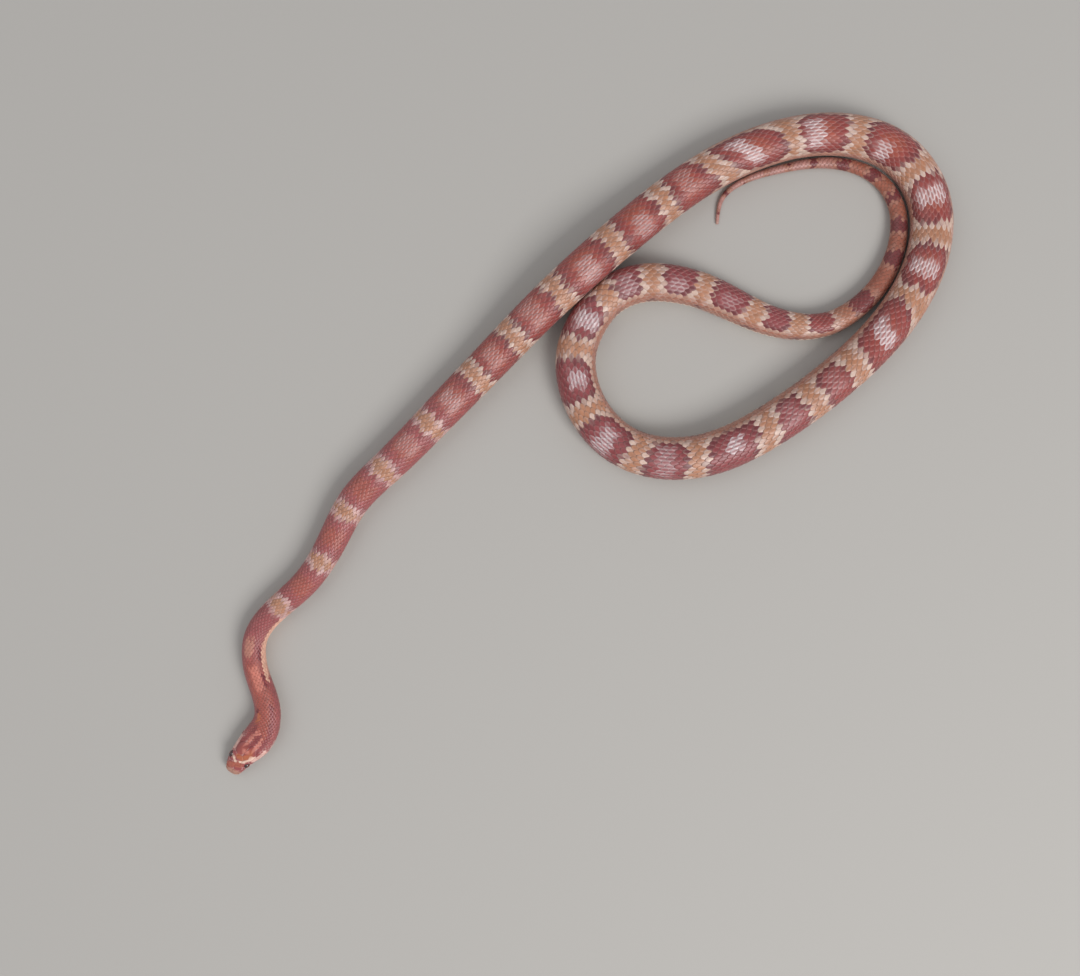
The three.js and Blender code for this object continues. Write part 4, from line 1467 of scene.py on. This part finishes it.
@dataclass
class Eye:
    """One eye, set in the side of the head."""

    form: BodyForm
    side: Side
    radius: float = 2.05
    depth: float = 1.5
    inset: float = 0.8
    pupil: float = 0.5
    pupil_colour: Colour = (24, 6, 8)
    iris_colour: Colour = (120, 34, 26)
    rim_colour: Colour = (50, 12, 12)
    rings: int = 28
    segments: int = 40

    def build(self, finish: bpy.types.Material) -> bpy.types.Object:
        """Make the eye in place of its plain node.

        Args:
            finish: The material of the eye.

        Returns:
            The finished object.
        """
        form = self.form
        station = np.array([form.eye_station])
        share = form.share_at_height(station, np.array([form.eye_height]))
        offset = form.outline(station, share)[0][0] - self.inset
        centre, forward, across, up = (part[0] for part in form.route.frames(station))
        polar = np.linspace(0, math.pi, self.rings + 1)[1:-1]
        turn = np.arange(self.segments) * 2 * math.pi / self.segments
        out = np.repeat(np.cos(polar), self.segments)
        flat = np.repeat(np.sin(polar), self.segments)
        turn = np.tile(turn, len(polar))
        local = np.column_stack([flat * np.cos(turn), out, flat * np.sin(turn)])
        local = np.concatenate([local, [[0, 1, 0], [0, -1, 0]]])
        sizes = np.array([self.radius, self.depth, self.radius])
        axes = np.stack([forward, across * self.side.value, up])
        middle = centre + across * self.side.value * offset + up * form.eye_height
        points = middle + (local * sizes) @ axes
        rings = len(polar)
        quads = ring_faces(rings, self.segments)
        outer, inner = rings * self.segments, rings * self.segments + 1
        fans = np.concatenate([
            fan_faces(0, self.segments, outer)[:, [1, 0, 2]],
            fan_faces(outer - self.segments, self.segments, inner)])
        if self.side is Side.LEFT:
            quads, fans = quads[:, ::-1], fans[:, ::-1]
        from_middle = np.hypot(local[:, 0], local[:, 2])
        iris = eased(from_middle, self.pupil - 0.05, self.pupil + 0.05)
        tints = mixed(linear(*self.pupil_colour), linear(*self.iris_colour), iris)
        tints = mixed(tints, linear(*self.rim_colour), eased(from_middle, 0.72, 0.86))
        places = local[:, [0, 2]] * 0.45 + 0.5
        piece = Piece(f"eye_{self.side.name.lower()}_globe")
        piece.add(points, (quads, fans), tints, places)
        made = piece.build(finish, Slot.EYE)
        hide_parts(f"eye_{self.side.name.lower()}")
        return made


@dataclass
class Studio:
    """A plain pale floor, soft light from the lower right, and the camera straight above."""

    camera_place: tuple[float, float, float] = (-26.29, -23.53, 605.7)
    lens: float = 36.1
    floor_size: float = 3.0
    floor_colour: Colour = (0.44, 0.42, 0.39)
    sky_colour: Colour = (0.93, 0.95, 1.0)
    sky_strength: float = 0.5
    lights: tuple[tuple[str, tuple[float, float, float], float, float], ...] = (
        ("key", (1.1, -1.2, 1.6), 1.1, 37), ("fill", (-1.4, 0.6, 1.8), 1.8, 9),
    )

    def build(self) -> None:
        """Set up the floor, the lights and the camera."""
        scene = bpy.context.scene
        scene.view_settings.view_transform = "Standard"
        mesh = bpy.data.meshes.new("floor")
        half = self.floor_size / 2
        corners = [(-half, -half, 0), (half, -half, 0), (half, half, 0), (-half, half, 0)]
        mesh.from_pydata(corners, [], [(0, 1, 2, 3)])
        floor = bpy.data.objects.new("floor", mesh)
        scene.collection.objects.link(floor)
        paint = bpy.data.materials.new("floor")
        paint.use_nodes = True
        shader = paint.node_tree.nodes["Principled BSDF"]
        shader.inputs["Base Color"].default_value = (*self.floor_colour, 1)
        shader.inputs["Roughness"].default_value = 0.8
        mesh.materials.append(paint)
        world = bpy.data.worlds.new("studio")
        world.use_nodes = True
        sky = world.node_tree.nodes["Background"]
        sky.inputs["Color"].default_value = (*self.sky_colour, 1)
        sky.inputs["Strength"].default_value = self.sky_strength
        scene.world = world
        for light in self.lights:
            self._light(*light)
        lens = bpy.data.cameras.new("camera")
        lens.lens = self.lens
        lens.sensor_width = 36
        lens.clip_start, lens.clip_end = 0.01, 20
        camera = bpy.data.objects.new("camera", lens)
        camera.location = Vector(self.camera_place) * MILLIMETRE
        scene.collection.objects.link(camera)
        scene.camera = camera

    @staticmethod
    def _light(name: str, place: tuple[float, float, float], size: float, power: float) -> None:
        """Hang a soft square light that faces the snake.

        Args:
            name: Its name.
            place: Where it hangs, in metres.
            size: The length of its side, in metres.
            power: Its power in watts.
        """
        lamp = bpy.data.lights.new(name, "AREA")
        lamp.size = size
        lamp.energy = power
        made = bpy.data.objects.new(name, lamp)
        facing = Vector(place).to_track_quat("Z", "Y").to_matrix().to_4x4()
        made.matrix_world = Matrix.Translation(place) @ facing
        bpy.context.scene.collection.objects.link(made)


def main() -> None:
    """Build the snake piece by piece."""
    logging.basicConfig(level=logging.INFO, format="%(name)s: %(message)s")
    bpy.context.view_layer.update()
    Studio().build()
    form = BodyForm(Route())
    markings = Markings(form)
    unwrap = BakeMap(form.route.length)
    scale = SkinFinish("scales").material()
    skin = SkinFinish("skin", roughness=0.55, coat=0.0).material()
    plates = SkinFinish("belly_and_head_plates", roughness=0.34).material()
    Skin(form, markings, unwrap).build(skin)
    back = DorsalScales(form, markings, unwrap)
    back.build(scale)
    BellyScutes(form, markings, unwrap, back.pitch_at).build(plates)
    HeadShields(form, markings, unwrap).build(plates)
    eye = EyeFinish().material()
    for side in Side:
        Eye(form, side).build(eye)


if __name__ == "__main__":
    main()
